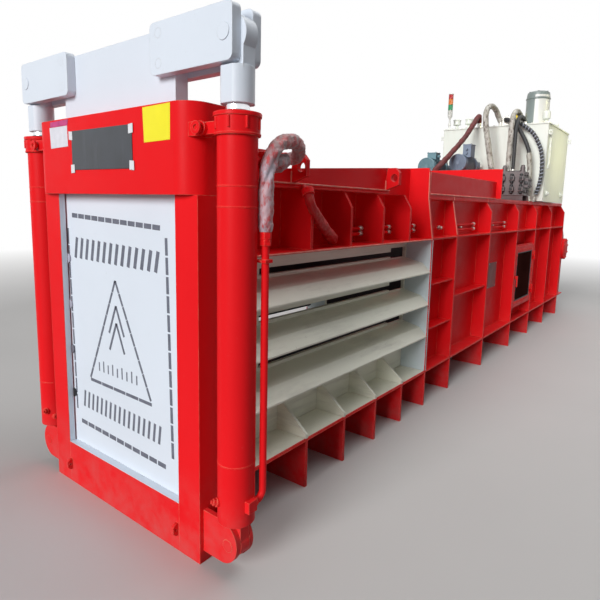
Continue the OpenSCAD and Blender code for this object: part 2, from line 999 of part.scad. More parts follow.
// shoes under and beside the ram and the blade along its upper front edge
module ram_wear() {
  color("#b0b4b8")
    placed() {
      both_sides()
        for (x = [ram_x + 60, ram_x + ram_len / 2 - 90, ram_x + ram_len - 240]) {
          box(x, x + 180, ram_half - 110, ram_half - 20, base_z + touch, ram_low);
          box(x, x + 180, ram_half, chamber_half - touch, ram_low + 200, ram_low + 320);
        }
      box(ram_x - 12, ram_x, -ram_half, ram_half, ram_high - 50, ram_high + 1.5);
    }
}

module ram_pin() {
  color("#9aa0a6")
    placed()
      rod_y(rod_pin_x, -115, 115, main_z, rod_pin_r);
}

// main cylinder with its gland, cap and trunnion shafts
module main_tube() {
  color("#b81d26")
    placed()
      difference() {
        union() {
          rod_x(main_x0, main_x1, 0, main_z, main_r);
          rod_x(main_x0, main_x0 + 60, 0, main_z, main_r + 20);
          rod_x(trunnion_x - 75, trunnion_x + 75, 0, main_z, main_r + 15);
          rod_y(trunnion_x, -tail_out - 40, tail_out + 40, main_z, trunnion_r);
        }
        rod_x(main_x0 + 60, main_x1 - 50, 0, main_z, main_r - 20);
        rod_x(main_x0 - 1, main_x0 + 61, 0, main_z, main_rod_r + touch);
      }
}

module main_rod() {
  piston_x = main_x1 - 160;
  color("#c9cdd2")
    placed()
      difference() {
        union() {
          rod_x(rod_pin_x + 60, rod_pin_x + 100, 0, main_z, 48);
          rod_x(rod_pin_x + 96, piston_x, 0, main_z, main_rod_r);
          rod_x(piston_x, piston_x + 90, 0, main_z, main_r - 20 - touch);
          rod_y(rod_pin_x, -54, 54, main_z, 88);
        }
        rod_y(rod_pin_x, -60, 60, main_z, rod_pin_r);
      }
}

module trunnion_caps() {
  color("#c81f28")
    placed()
      both_sides()
        difference() {
          rod_y(trunnion_x, tail_out, side_half + 26, main_z, trunnion_cap_r);
          rod_y(trunnion_x, tail_out - 1, tail_out + 41, main_z, trunnion_r + touch);
        }
}

module ring_y(x0, x1, z0, z1, border, y0, y1) {
  difference() {
    box(x0, x1, y0, y1, z0, z1);
    box(x0 + border, x1 - border, y0 - 1, y1 + 1, z0 + border, z1 - border);
  }
}

// frame between two ribs with the fixed halves of the hinges
module door_frame() {
  color("#c81f28")
    placed() {
      ring_y(door_front, door_back, door_low - 14, door_high + 14, 44,
        -door_y + door_t + 2, -door_y + door_t + 26);
      for (z = hinge_rows) {
        rod_z(hinge_x, -hinge_y, z, z + hinge_pin_h, hinge_pin_r);
        rod_z(hinge_x, -hinge_y, z, z + hinge_h, hinge_pin_r + 5);
        box(hinge_x, door_back + rib_t, -hinge_y + 2, -side_half, z, z + hinge_h);
      }
    }
}

// door on two hinges, with the opening for its pane and the hole for its latch
module access_door() {
  x0 = door_front + door_edge;
  x1 = door_back - door_edge;
  color("#c81f28")
    placed()
      difference() {
        union() {
          ring_y(x0, x1, door_low, door_high, door_border, -door_y, -door_y + door_t);
          for (z = hinge_rows) {
            rod_z(hinge_x, -hinge_y, z + hinge_h + 2, z + 2 * hinge_h + 2, hinge_pin_r + 5);
            box(x1 - 40, hinge_x, -hinge_y + 2, -door_y + 1, z + hinge_h + 2, z + 2 * hinge_h + 2);
          }
        }
        for (z = hinge_rows)
          rod_z(hinge_x, -hinge_y, z + hinge_h + 1, z + 2 * hinge_h + 3, hinge_pin_r + touch);
        rod_y(latch_x, -door_y - 1, -door_y + door_t + 1, latch_z, 8 + touch);
      }
}

module door_pane() {
  b = door_edge + door_border;
  color("#14181c")
    placed()
      box(door_front + b, door_back - b, -door_y + 4, -door_y + 10,
        door_low + door_border, door_high - door_border);
}

module door_latch() {
  color("#2a2c2f")
    placed() {
      rod_y(latch_x, -door_y - 18, -door_y + door_t + 1, latch_z, 8);
      rod_y(latch_x, -door_y - 18, -door_y - 4, latch_z, 20);
      box(latch_x - 9, latch_x + 9, -door_y - 32, -door_y - 18, latch_z - 110, latch_z + 22);
    }
}

// oil tank on two cross feet, with a small lug near each upper corner
module tank() {
  t = 8;
  x1 = tank_x + tank_len;
  color("#e8e6dc")
    placed() {
      difference() {
        box(tank_x, x1, -tank_half, tank_half, tank_low, tank_high);
        box(tank_x + t, x1 - t, -tank_half + t, tank_half - t, tank_low + t, tank_high + 1);
      }
      for (x = [tank_x + 50, x1 - 150])
        box(x, x + 100, -rim_half + 8, rim_half - 8, rim_z, tank_low);
      both_sides()
        for (x = [tank_x + 20, x1 - 32])
          difference() {
            box(x, x + 12, tank_half, tank_half + 46, tank_high - 130, tank_high - 74);
            rod_x(x - 1, x + 13, tank_half + 26, tank_high - 102, 12);
          }
    }
}

// lid with the filler neck and two breathers
module tank_lid() {
  color("#e8e6dc")
    placed() {
      box(tank_x - 10, tank_x + tank_len + 10, -tank_half - 10, tank_half + 10, tank_high, lid_z);
      difference() {
        rod_z(cap_x, cap_y, lid_z, cap_z, 50);
        rod_z(cap_x, cap_y, lid_z, cap_z + 1, 40);
      }
      for (y = [430, 600]) {
        rod_z(cap_x - 130, y, lid_z, lid_z + 90, 20);
        rod_z(cap_x - 130, y, lid_z + 90, lid_z + 160, 42);
      }
    }
}

module tank_filter() {
  color("#eceff0")
    placed() {
      rod_z(cap_x, -424, lid_z, lid_z + 24, filter_r + 18);
      rod_z(cap_x, -424, lid_z + 24, lid_z + filter_h - 60, filter_r);
      rod_z(cap_x, -424, lid_z + filter_h - 60, lid_z + filter_h, filter_r - 12);
    }
}

module filler_cap() {
  color("#f0c419")
    placed()
      rod_z(cap_x, cap_y, cap_z + touch, cap_z + 122, 62);
}

// stem, white base and three lenses
module signal_light() {
  color("#e8e8e8")
    placed() {
      rod_z(light_x, light_y, lid_z, lid_z + 12, light_r + 14);
      rod_z(light_x, light_y, lid_z + 12, light_z, 12);
      for (i = [0 : 3])
        rod_z(light_x, light_y, light_z + i * lens_h, light_z + (i + 1) * lens_h, light_r);
    }
}

// barrel on a pedestal, bored for its shaft
module motor(x, y, z) {
  difference() {
    union() {
      rod_x(x, x + motor_len, y, z, motor_r);
      box(x + 80, x + motor_len - 80, y - motor_r + 25, y + motor_r - 25, rim_z, z - motor_r / 2);
    }
    rod_x(x + 30, x + motor_len + 1, y, z, shaft_r + touch);
  }
}

// two motors; the rear one has its terminal box on top
module motors() {
  d = drives[1];
  color("#2f8f8a")
    placed() {
      for (p = drives)
        motor(p[0], p[1], p[2]);
      box(d[0] + 110, d[0] + 250, d[1] - 120, d[1] - 20, d[2] + 70, d[2] + 225);
    }
}

module rotor(x, y, z) {
  rod_x(x + 31, x + motor_len + 20, y, z, shaft_r);
  rod_x(x + motor_len + 20, x + motor_len + bell_len - 10, y, z, 50);
}

module rotor_teal() {
  color("#8d949b")
    placed()
      rotor(drives[0][0], drives[0][1], drives[0][2]);
}

module rotor_blue() {
  color("#8d949b")
    placed()
      rotor(drives[1][0], drives[1][1], drives[1][2]);
}

// bell housings, pumps and their pressure pipes down to the deck
module pumps() {
  color("#6f7a86")
    placed()
      for (p = drives) {
        bell_x = p[0] + motor_len;
        pump_x = bell_x + bell_len;
        difference() {
          rod_x(bell_x, pump_x, p[1], p[2], bell_r);
          rod_x(bell_x - 1, pump_x - 8, p[1], p[2], bell_r - 22);
        }
        rod_x(pump_x, pump_x + pump_len, p[1], p[2], pump_r);
        difference() {
          rod_z(pump_x + pump_len / 2, p[1], rim_z, p[2], 20);
          rod_x(pump_x - 1, pump_x + pump_len + 1, p[1], p[2], pump_r);
        }
      }
}

// valve block on the deck with cartridges on top
module valve_block() {
  color("#5c6268")
    placed() {
      box(block_x, block_x + block_len, block_y0, block_y1, rim_z, block_top);
      for (y = [block_y0 + 60, block_y1 - 60])
        rod_z(block_x + 60, y, block_top, block_high + 20, 34);
    }
}

// a quarter of a ring between two lines, turned as its angles say
module bend(at, turned, r) {
  translate(at)
    rotate(turned)
      rotate_extrude(angle = 90)
        translate([r, 0])
          circle(r = oil_hose_r);
}

// a hose that leaves the manifold forwards, turns sideways, falls and ends in a foot on the deck
module falling_hose(x, y, r) {
  top = lid_z + 36;
  low = rim_z + 60;
  foot_y = y - r + fall_foot;
  rod_x(x + fall_turn, manifold_x + 10, y + fall_turn, top, oil_hose_r);
  bend([x + fall_turn, y, top], [0, 0, 90], fall_turn);
  bend([x, y, top - r], [90, 0, -90], r);
  rod_z(x, y - r, low + fall_foot, top - r, oil_hose_r);
  bend([x, foot_y, low + fall_foot], [-90, 0, -90], fall_foot);
  box(x - 34, x + 34, foot_y, foot_y + 68, rim_z, low + 34);
}

// hoses from the lid down to the deck and the valve block, one long one over the motors
module oil_hoses() {
  top = lid_z + 40;
  low = [rim_z, block_top, block_top];
  run = long_hose_x1 - long_hose_x0;
  climb = long_hose_z1 - long_hose_z0;
  color("#26282b")
    placed() {
      for (i = [0 : 2]) {
        rod_z(loop_x + 2 * loop_r, front_loops[i], lid_z, top, oil_hose_r);
        translate([loop_x + loop_r, front_loops[i], top])
          rotate([90, 0, 0])
            rotate_extrude(angle = 180)
              translate([loop_r, 0])
                circle(r = oil_hose_r);
        rod_z(loop_x, front_loops[i], low[i], top, oil_hose_r);
      }
      box(manifold_x, manifold_x + 96, -250, -105, lid_z, lid_z + 120);
      for (f = fall_rows)
        falling_hose(f[0], f[1], f[2]);
      translate([long_hose_x0, long_hose_y, long_hose_z0])
        rotate([0, 90 - atan(climb / run), 0])
          cylinder(h = sqrt(run * run + climb * climb), r = oil_hose_r);
      box(long_hose_x0 - 40, long_hose_x0 + 40, long_hose_y - 36, long_hose_y + 36,
        rim_z, long_hose_z0 + 40);
      box(long_hose_x1 - 36, long_hose_x1 + 36, long_hose_y - 36, long_hose_y + 36,
        lid_z, long_hose_z1 + 36);
      for (p = drives)
        rod_x(p[0] + motor_len + bell_len + pump_len, tank_x, p[1], p[2], suction_r);
    }
}

tower_columns();
tower_sill();
tower_beam();
beam_plates();
gate_pads();
gate();
crosshead_ears();
crosshead_pins();
rod_eyes();
lift_rods();
lift_tubes();
lift_glands();
gland_lugs();
foot_clevises();
foot_pins();
lift_ports();
lift_pipes();
lift_hoses();
chamber_walls();
chamber_rails();
chamber_gussets();
chamber_ends();
chamber_floor();
chamber_roof();
upper_webs();
upper_rails();
upper_ribs();
lifting_lugs();
side_flanges();
base_flanges();
leg_plates();
body_walls();
body_ribs();
body_floor();
body_cover();
rear_frame();
hopper_walls();
hopper_back();
shear_blade();
ram();
ram_wear();
ram_pin();
main_tube();
main_rod();
trunnion_caps();
door_frame();
access_door();
door_pane();
door_latch();
tank();
tank_lid();
tank_filter();
filler_cap();
signal_light();
motors();
rotor_teal();
rotor_blue();
pumps();
valve_block();
oil_hoses();
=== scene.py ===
import random
from math import cos, pi, radians, sin, tan

import bmesh
import bpy
from mathutils import Matrix, Vector, noise


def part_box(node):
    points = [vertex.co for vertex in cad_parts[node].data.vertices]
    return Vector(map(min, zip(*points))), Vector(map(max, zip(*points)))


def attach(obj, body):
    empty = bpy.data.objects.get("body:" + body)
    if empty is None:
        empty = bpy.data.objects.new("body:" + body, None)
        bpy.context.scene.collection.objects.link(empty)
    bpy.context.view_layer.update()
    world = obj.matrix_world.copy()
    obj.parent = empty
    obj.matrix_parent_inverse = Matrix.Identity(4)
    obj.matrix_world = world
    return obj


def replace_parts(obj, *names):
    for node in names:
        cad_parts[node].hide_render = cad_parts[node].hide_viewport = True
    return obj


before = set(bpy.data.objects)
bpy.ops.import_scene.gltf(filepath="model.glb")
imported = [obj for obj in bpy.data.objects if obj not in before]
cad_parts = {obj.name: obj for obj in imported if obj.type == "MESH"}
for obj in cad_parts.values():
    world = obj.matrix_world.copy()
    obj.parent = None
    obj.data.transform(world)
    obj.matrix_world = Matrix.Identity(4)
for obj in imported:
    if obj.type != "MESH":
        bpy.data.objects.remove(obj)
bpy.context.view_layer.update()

# Camera: it stands before the gate, to the right of the machine's middle, at a standing
# person's eye height, and looks along the long side.
image_px = 600
lens_px = 510
shift_px = -20.6
sensor_mm = 36
eye = (-5.2495, -2.243, 1.62)
yaw, pitch, roll = (radians(a) for a in (37.6, 8.33, -1.26))
ahead = Vector((cos(yaw) * cos(pitch), sin(yaw) * cos(pitch), -sin(pitch)))
level = Vector((sin(yaw), -cos(yaw), 0))
below = ahead.cross(level)
right = cos(roll) * level + sin(roll) * below
down = -sin(roll) * level + cos(roll) * below


def stand(name, data):
    """Puts a camera, a lamp or a mesh into the scene."""
    made = bpy.data.objects.new(name, data)
    bpy.context.scene.collection.objects.link(made)
    return made


camera = stand("camera", bpy.data.cameras.new("camera"))
camera.matrix_world = Matrix.Translation(eye) @ Matrix((right, -down, -ahead)).transposed().to_4x4()
camera.data.sensor_width = sensor_mm
camera.data.lens = lens_px / image_px * sensor_mm
camera.data.shift_y = shift_px / image_px
camera.data.clip_end = 200
bpy.context.scene.camera = camera

# Floor and light: a plain pale floor that fades to white far off, soft light that falls from
# before the gate, a lamp above, a weak one along the near side and a warm one on the tank.
bpy.context.scene.view_settings.view_transform = "Standard"
floor_half = 60
floor_near, floor_far = 6, 15
floor_grey = (0.62, 0.61, 0.60)
bounce_grey = (0.22, 0.20, 0.20)
floor_mesh = bpy.data.meshes.new("floor")
corners = [(x * floor_half, y * floor_half, 0) for x, y in ((-1, -1), (1, -1), (1, 1), (-1, 1))]
floor_mesh.from_pydata(corners, [], [(0, 1, 2, 3)])
floor = stand("floor", floor_mesh)


class Nodes:
    """Short ways to add and join the nodes of a material or of the room."""

    def __init__(self, owner):
        owner.use_nodes = True
        self.tree = owner.node_tree

    def join(self, value, socket):
        if isinstance(value, bpy.types.NodeSocket):
            self.tree.links.new(value, socket)
        elif socket.type == "RGBA":
            socket.default_value = (*value, 1)
        else:
            socket.default_value = value

    def fill(self, node, inputs):
        for key, value in inputs.items():
            self.join(value, node.inputs[key.replace("_", " ")])
        return node

    def node(self, kind, **inputs):
        return self.fill(self.tree.nodes.new("ShaderNode" + kind), inputs)

    def math(self, kind, a, b=0.0):
        made = self.node("Math")
        made.operation = kind
        self.join(a, made.inputs[0])
        self.join(b, made.inputs[1])
        return made.outputs[0]

    def spread(self, value, low, high, to_low=0.0, to_high=1.0):
        ends = {"From_Min": low, "From_Max": high, "To_Min": to_low, "To_Max": to_high}
        return self.node("MapRange", Value=value, **ends).outputs[0]

    def mix(self, factor, a, b):
        made = self.node("Mix")
        made.data_type = "RGBA"
        self.join(factor, made.inputs[0])
        self.join(a, made.inputs[6])
        self.join(b, made.inputs[7])
        return made.outputs[2]

    def finish(self, factor, one, two, output):
        """Blends two shaders and makes the blend the last word."""
        blend = self.node("MixShader", Fac=factor)
        self.join(one, blend.inputs[1])
        self.join(two, blend.inputs[2])
        self.join(blend.outputs[0], self.tree.nodes[output].inputs[0])


class Finish(Nodes):
    """A material in the making: its shader, its colours and its texture."""

    def __init__(self, name, colour, rough, **settings):
        self.material = bpy.data.materials.new(name)
        super().__init__(self.material)
        self.shader = self.tree.nodes["Principled BSDF"]
        self.place = self.node("TexCoord").outputs["Object"]
        self.set(Base_Color=colour, Roughness=rough, **settings)

    def set(self, **inputs):
        self.fill(self.shader, inputs)

    def mottle(self, scale, detail=4.0, stretch=(1, 1, 1), rough=0.5):
        place = self.node("Mapping", Vector=self.place, Scale=stretch).outputs[0]
        return self.node("TexNoise", Vector=place, Scale=scale, Detail=detail, Roughness=rough).outputs[0]

    def bump(self, height, distance, **normal):
        return self.node("Bump", Height=height, Distance=distance, **normal).outputs[0]

    def along(self, axis):
        return self.node("SeparateXYZ", Vector=self.place).outputs[axis]


floor_paint = Finish("floor_paint", floor_grey, 0.7)
reach = floor_paint.node("VectorMath", Vector=floor_paint.node("NewGeometry").outputs["Position"])
reach.operation = "LENGTH"
rays = floor_paint.node("LightPath").outputs
far = floor_paint.spread(reach.outputs["Value"], floor_near, floor_far)
shade = floor_paint.spread(floor_paint.mottle(0.6, 3.0), 0.3, 0.7)
tint = floor_paint.mix(shade, [c * 0.96 for c in floor_grey], floor_grey)
floor_paint.set(Base_Color=floor_paint.mix(rays["Is Diffuse Ray"], tint, bounce_grey))
white = floor_paint.node("Emission", Color=(1, 1, 1), Strength=1.0).outputs[0]
seen = floor_paint.math("MULTIPLY", far, rays["Is Camera Ray"])
floor_paint.finish(seen, floor_paint.shader.outputs[0], white, "Material Output")
floor.data.materials.append(floor_paint.material)

bpy.context.scene.world = bpy.data.worlds.new("room")
room = Nodes(bpy.context.scene.world)
ambient = room.fill(room.tree.nodes["Background"], {"Color": (0.93, 0.96, 1.0), "Strength": 0.10})
sky = room.node("Background", Color=(1, 1, 1))
rays = room.node("LightPath").outputs
seen = room.math("MAXIMUM", rays["Is Camera Ray"], rays["Is Glossy Ray"])
seen = room.math("MAXIMUM", seen, rays["Is Transmission Ray"])
room.finish(seen, ambient.outputs[0], sky.outputs[0], "World Output")


def lamp(name, kind, power, place, aim):
    """A lamp at a place, turned to what it is aimed at."""
    light = bpy.data.lights.new(name, kind)
    light.energy = power
    made = stand(name, light)
    made.location = place
    made.rotation_euler = (Vector(aim) - Vector(place)).to_track_quat("-Z", "Y").to_euler()
    return light


lamp("front_lamp", "SUN", 3.0, (0, 0, 0), (1, 0.05, -0.36)).angle = radians(28)
for name, power, place, aim, width, height in (("top_lamp", 430, (1.0, -2.0, 10), (0.5, 0, 1), 10, 7),
                                               ("side_lamp", 8, (-2, -14, 5), (0.5, 0, 1.2), 8, 4)):
    panel = lamp(name, "AREA", power, place, aim)
    panel.shape = "RECTANGLE"
    panel.size = width
    panel.size_y = height
spot = lamp("tank_lamp", "SPOT", 2600, (4.4, -9.0, 4.2), (2.45, -0.67, 2.35))
spot.color = (1.0, 0.95, 0.45)
spot.spot_size = radians(11)
spot.spot_blend = 1.0
spot.shadow_soft_size = 0.6

# Painted steel plate: welded, ground and sprayed signal red. Thin edges get a pale painted highlight
# that is partly wear, the coat has a fine orange peel, and dust from the shop floor clings to what is low.
dust_top = 0.45


def painted(name, colour, rough, fade=0.12, fade_scale=1.3, peel=0.0005, wave=0.0, specks=0.0, dust=0.0,
            dust_and_glint_tint=(0.36, 0.27, 0.25), streaks=0.0, streak_tint=(0.4, 0.38, 0.33), edge_glint_and_wear_tint=None,
            edge_r=0.005, stretch=(1, 1, 1), metal=0.0, shine=0.5, inner=None):
    """A sprayed or worn coat: patches, runs, specks, dust low down, pale edges as a painted highlight that
    is partly wear, and an inside painted near black as shade.
    """
    finish = Finish(name, colour, rough, Metallic=metal, Specular_IOR_Level=shine)
    patches = finish.spread(finish.mottle(fade_scale), 0.3, 0.7)
    fresh = [min(1, c * (1 + fade / 2)) for c in colour]
    base = finish.mix(patches, [c * (1 - fade) for c in colour], fresh)
    if streaks:
        run = finish.mottle(3.0, 6.0, stretch, 0.65)
        base = finish.mix(finish.spread(run, 0.52, 0.78, 0, streaks), base, streak_tint)
    # Specks: grit and dust, and in the seam paint pale painted glints.
    if specks:
        grit = finish.mottle(46, 3.0, rough=0.7)
        base = finish.mix(finish.spread(grit, 0.66, 0.76, 0, specks), base, dust_and_glint_tint)
    if dust:
        low = finish.spread(finish.along("Z"), 0.0, dust_top, 1.0, 0.0)
        patch = finish.spread(finish.mottle(7.0, 8.0, rough=0.7), 0.35, 0.72)
        amount = finish.math("MULTIPLY", finish.math("MULTIPLY", low, patch), dust)
        base = finish.mix(amount, base, dust_and_glint_tint)
    rounded = finish.node("Bevel", Radius=edge_r).outputs[0]
    # Pale edges: a painted highlight along thin edges, broken into patches that also stand for wear.
    if edge_glint_and_wear_tint:
        turned = finish.node("VectorMath")
        turned.operation = "DOT_PRODUCT"
        finish.join(rounded, turned.inputs[0])
        finish.join(finish.node("NewGeometry").outputs["Normal"], turned.inputs[1])
        edge = finish.spread(turned.outputs["Value"], 0.80, 0.99, 0.8, 0.0)
        wear = finish.spread(finish.mottle(26, 4.0), 0.40, 0.62, 0.35, 1.0)
        base = finish.mix(finish.math("MULTIPLY", edge, wear), base, edge_glint_and_wear_tint)
    # Painted shade: where |y| is under inner, the coat is made near black.
    if inner:
        across = finish.math("ABSOLUTE", finish.along("Y"))
        base = finish.mix(finish.spread(across, inner, inner + 0.001), (0.01, 0.009, 0.009), base)
    uneven = finish.spread(finish.mottle(9.0, 5.0), 0.3, 0.7, rough - 0.05, rough + 0.09)
    normal = finish.bump(finish.mottle(230, 2.0), peel, Normal=rounded)
    if wave:
        normal = finish.bump(finish.mottle(2.2, 2.0), wave, Normal=normal)
    finish.set(Base_Color=base, Roughness=uneven, Normal=normal)
    return finish.material


def dress(material, *nodes):
    """Gives CAD nodes their material."""
    for name in nodes:
        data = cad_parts[name].data
        data.materials.clear()
        data.materials.append(material)


signal_red = painted("signal_red", (0.80, 0.011, 0.015), 0.36, fade=0.05, dust=0.3, specks=0.05, wave=0.002,
                     edge_glint_and_wear_tint=(0.94, 0.30, 0.20), shine=0.07)
dress(signal_red, "base_flanges", "leg_plates", "side_flanges", "chamber_roof", "upper_webs", "upper_rails",
      "upper_ribs", "lifting_lugs", "body_walls", "body_ribs", "body_cover", "rear_frame", "hopper_walls",
      "hopper_back", "trunnion_caps", "door_frame", "access_door", "door_latch", "tower_columns",
      "tower_sill", "tower_beam", "lift_tubes", "lift_glands", "gland_lugs", "foot_clevises", "foot_pins",
      "lift_ports", "lift_pipes", "main_tube")

# Base flanges, legs and side flanges: burnt plate, welded all along where the ribs and the
# legs stand on it, and painted over, beads and all.
up = (0, 0, 1)
both = (1, -1)
front_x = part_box("tower_columns")[0].x


def turns(count, first=0.0):
    """Equal steps round a circle, as the cosine and the sine of each."""
    return [(cos(a), sin(a)) for a in (radians(first + 360 / count * k) for k in range(count))]


class Shape:
    """A mesh in the making, in millimetres: x counts from the front face of the tower, and y
    points the other way while side is -1."""

    side = 1

    def __init__(self):
        self.bm = bmesh.new()

    def box(self, x0, x1, y0, y1, z0, z1):
        y0, y1 = sorted((Shape.side * y0, Shape.side * y1))
        for v in bmesh.ops.create_cube(self.bm, size=1)["verts"]:
            v.co = Vector((x0 if v.co.x < 0 else x1, y0 if v.co.y < 0 else y1, z0 if v.co.z < 0 else z1))

    def rod(self, a, b, r, sides=24, end_r=None):
        a, b = placed(a), placed(b)
        face = (b - a).to_track_quat("Z", "X").to_matrix().to_4x4()
        bmesh.ops.create_cone(self.bm, cap_ends=True, segments=sides, radius1=r, radius2=end_r or r,
                              depth=(b - a).length, matrix=Matrix.Translation((a + b) / 2) @ face)

    def spin(self, at, profile, axis=up, sides=36):
        """A turned part on an axis; profile is pairs of a radius and a distance along the axis."""
        at = placed(at)
        face = placed(axis).to_track_quat("Z", "X").to_matrix()
        rings = []
        for r, reach in profile:
            circle = turns(sides) if r > 0 else [(0, 0)]
            points = [at + face @ Vector((r * c, r * d, reach)) for c, d in circle]
            rings.append([self.bm.verts.new(p) for p in points])
        for low, high in zip(rings, rings[1:]):
            for k in range(sides):
                n = (k + 1) % sides
                quad = [low[k % len(low)], low[n % len(low)], high[n % len(high)], high[k % len(high)]]
                kept = [v for i, v in enumerate(quad) if v not in quad[:i]]
                if len(kept) > 2:
                    self.bm.faces.new(kept)

    def solid(self, one, two):
        """All that lies between two like outlines."""
        one, two = ([self.bm.verts.new(placed(p)) for p in outline] for outline in (one, two))
        self.bm.faces.new(one)
        self.bm.faces.new(two[::-1])
        for k in range(len(one)):
            n = (k + 1) % len(one)
            self.bm.faces.new((one[k], two[k], two[n], one[n]))

    def plate(self, x0, x1, outline):
        """A flat outline, given in y and z, made solid from x0 to x1."""
        self.solid([(x0, y, z) for y, z in outline], [(x1, y, z) for y, z in outline])

    def tube(self, points, radius, sides=12):
        """A round section swept along points; radius is a number or a function of step and angle."""
        points = [placed(p) for p in points]
        side = None
        rings = []
        for i, p in enumerate(points):
            ahead = (points[min(i + 1, len(points) - 1)] - points[max(i - 1, 0)]).normalized()
            side = ahead.orthogonal() if side is None else side - ahead * side.dot(ahead)
            side.normalize()
            across = ahead.cross(side)
            ring = []
            for k in range(sides):
                t = 2 * pi * k / sides
                r = radius(i, t) if callable(radius) else radius
                ring.append(self.bm.verts.new(p + side * (cos(t) * r) + across * (sin(t) * r)))
            rings.append(ring)
        for low, high in zip(rings, rings[1:]):
            for k in range(sides):
                n = (k + 1) % sides
                self.bm.faces.new((low[k], low[n], high[n], high[k]))
        self.bm.faces.new(rings[0][::-1])
        self.bm.faces.new(rings[-1])

    def hoop(self, x, y, z, r, wire, count=48, sides=8):
        """A ring of wire that stands across x."""
        self.tube([(x, y + r * c, z + r * d) for c, d in turns(count) + turns(1)], wire, sides)

    def put(self, name, material=signal_red, slot="red_paint", body="baler_frame", smooth=38, bevel=0.0):
        """Turns the mesh into a piece that rides on a body and takes the material given; slot is not used.
        """
        bmesh.ops.recalc_face_normals(self.bm, faces=self.bm.faces)
        mesh = bpy.data.meshes.new(name)
        self.bm.transform(Matrix.Translation((front_x, 0, 0)) @ Matrix.Scale(0.001, 4))
        self.bm.to_mesh(mesh)
        self.bm.free()
        for face in mesh.polygons:
            face.use_smooth = True
        mesh.set_sharp_from_angle(angle=radians(smooth))
        mesh.materials.append(material)
        made = stand(name, mesh)
        if bevel:
            rim = made.modifiers.new("rim", "BEVEL")
            rim.width = bevel / 1000
            rim.segments = 2
            rim.limit_method = "ANGLE"
            rim.angle_limit = radians(40)
            rim.harden_normals = True
        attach(made, body)
        return made


def placed(p):
    """A point or a direction as it lies on the side that is being made."""
    return Vector((p[0], Shape.side * p[1], p[2]))


def mirrored():
    """Both sides of the machine in turn, the far side first."""
    for Shape.side in both:
        yield Shape.side
    Shape.side = 1


def bead(shape, a, b, size=5, pitch=7):
    """A weld bead with its ripples, laid in the corner from a to b."""
    a, b = Vector(a), Vector(b)
    count = max(4, int((b - a).length / pitch))
    points = [a.lerp(b, i / count) for i in range(count + 1)]
    draw = random.Random(int(a.length + 7 * b.length))
    swell = [size * (0.85 + 0.3 * (i % 2) + draw.uniform(-0.14, 0.14)) for i in range(count + 1)]
    shape.tube(points, lambda i, t: swell[i], sides=6)


edge_y, weld_y, rim_y, wall_y, web_y = 607, 604, 556, 480, 390
base_z, mid_z, rim_z, beam_top = 297, 1378, 1725, 1892
rim_low, rail_low, rail_end = rim_z - 40, 1705, 1750
frame_x0, frame_x1 = 190, 7370
end_x0, end_x1 = 2418, 2442
front_ribs = [820, 1218, 1616, 2014]
rear_ribs = [2958, 3856, 4837, 5682, 6506, 7377]
beads = Shape()
for _ in mirrored():
    bead(beads, (end_x0, edge_y, mid_z - 1), (frame_x1, edge_y, mid_z - 1), 4.5, 9)
    bead(beads, (frame_x0, edge_y, base_z - 12), (frame_x1, edge_y, base_z - 12), 3.5, 11)
    bead(beads, (end_x0, edge_y, base_z), (end_x0, edge_y, mid_z), 4, 8)
    for x in [rib + edge for rib in front_ribs for edge in (-11, 11)]:
        bead(beads, (x, web_y + 1, mid_z + 1), (x, weld_y, mid_z + 1))
        bead(beads, (x, web_y + 1, mid_z), (x, web_y + 1, rail_low - 1))
        bead(beads, (x, 320, base_z - 13), (x, 600, base_z - 13))
        if x < rail_end:
            bead(beads, (x, web_y + 2, rail_low - 1), (x, 549, rail_low - 1))
    for x in [rib + edge for rib in rear_ribs for edge in (-13, 13)]:
        for y, z in ((weld_y, mid_z + 1), (weld_y, base_z + 1), (550, rim_low - 1)):
            bead(beads, (x, wall_y, z), (x, y, z))
        for z0, z1 in ((base_z, mid_z - 12), (mid_z, rim_low)):
            bead(beads, (x, wall_y + 1, z0), (x, wall_y + 1, z1), 5, 10)
    for z in (rim_low - 1, mid_z + 1, base_z + 1):
        bead(beads, (end_x1, wall_y + 1, z), (frame_x1, wall_y + 1, z), 4.5, 10)
beads.put("frame_welds")

# Rim and beam edges: a long bead along the foot of the beams above the chamber and short
# ones where lugs and hopper plates stand on the rim, in a pale pink with pale flecks and edges that are a
# painted highlight.
seam_glint_red = painted("seam_glint_red", (0.88, 0.20, 0.15), 0.34, fade=0.3, fade_scale=14, specks=0.7, shine=0.3,
                   dust_and_glint_tint=(0.95, 0.70, 0.60), edge_glint_and_wear_tint=(0.95, 0.50, 0.40))
hopper_end, lug_xs = 4100, (710, 1726)
seams = Shape()
for _ in mirrored():
    bead(seams, (end_x0, edge_y, mid_z), (end_x0, 560, rim_low), 4, 8)
    bead(seams, (end_x0, 559, rim_low), (end_x0, rim_y, beam_top), 4, 8)
    bead(seams, (rear_ribs[0] - 12, 608, mid_z + 12), (rear_ribs[0] - 12, 551, rim_low), 4, 8)
    bead(seams, (frame_x0, 608, mid_z - 6), (end_x0, 608, mid_z - 6), 4.5, 10)
    bead(seams, (frame_x0, 565, rail_low + 24), (rail_end, 565, rail_low + 24), 4.5, 9)
    bead(seams, (end_x1, rim_y + 1, rim_z + 1), (hopper_end, rim_y + 1, rim_z + 1), 6, 9)
    bead(seams, (end_x1 + 1, rim_y - 1, rim_z), (end_x1 + 1, rim_y - 1, beam_top), 4.5)
    for x in [lug + edge for lug in lug_xs for edge in (-16, 16)]:
        bead(seams, (x, rim_y + 2, rim_z + 5), (x, rim_y + 2, 1792))
    for x in rear_ribs[:2]:
        bead(seams, (x, rim_y + 1, rim_z - 38), (x, rim_y + 1, rim_z - 2), 4.5)
seams.put("rim_welds", seam_glint_red)

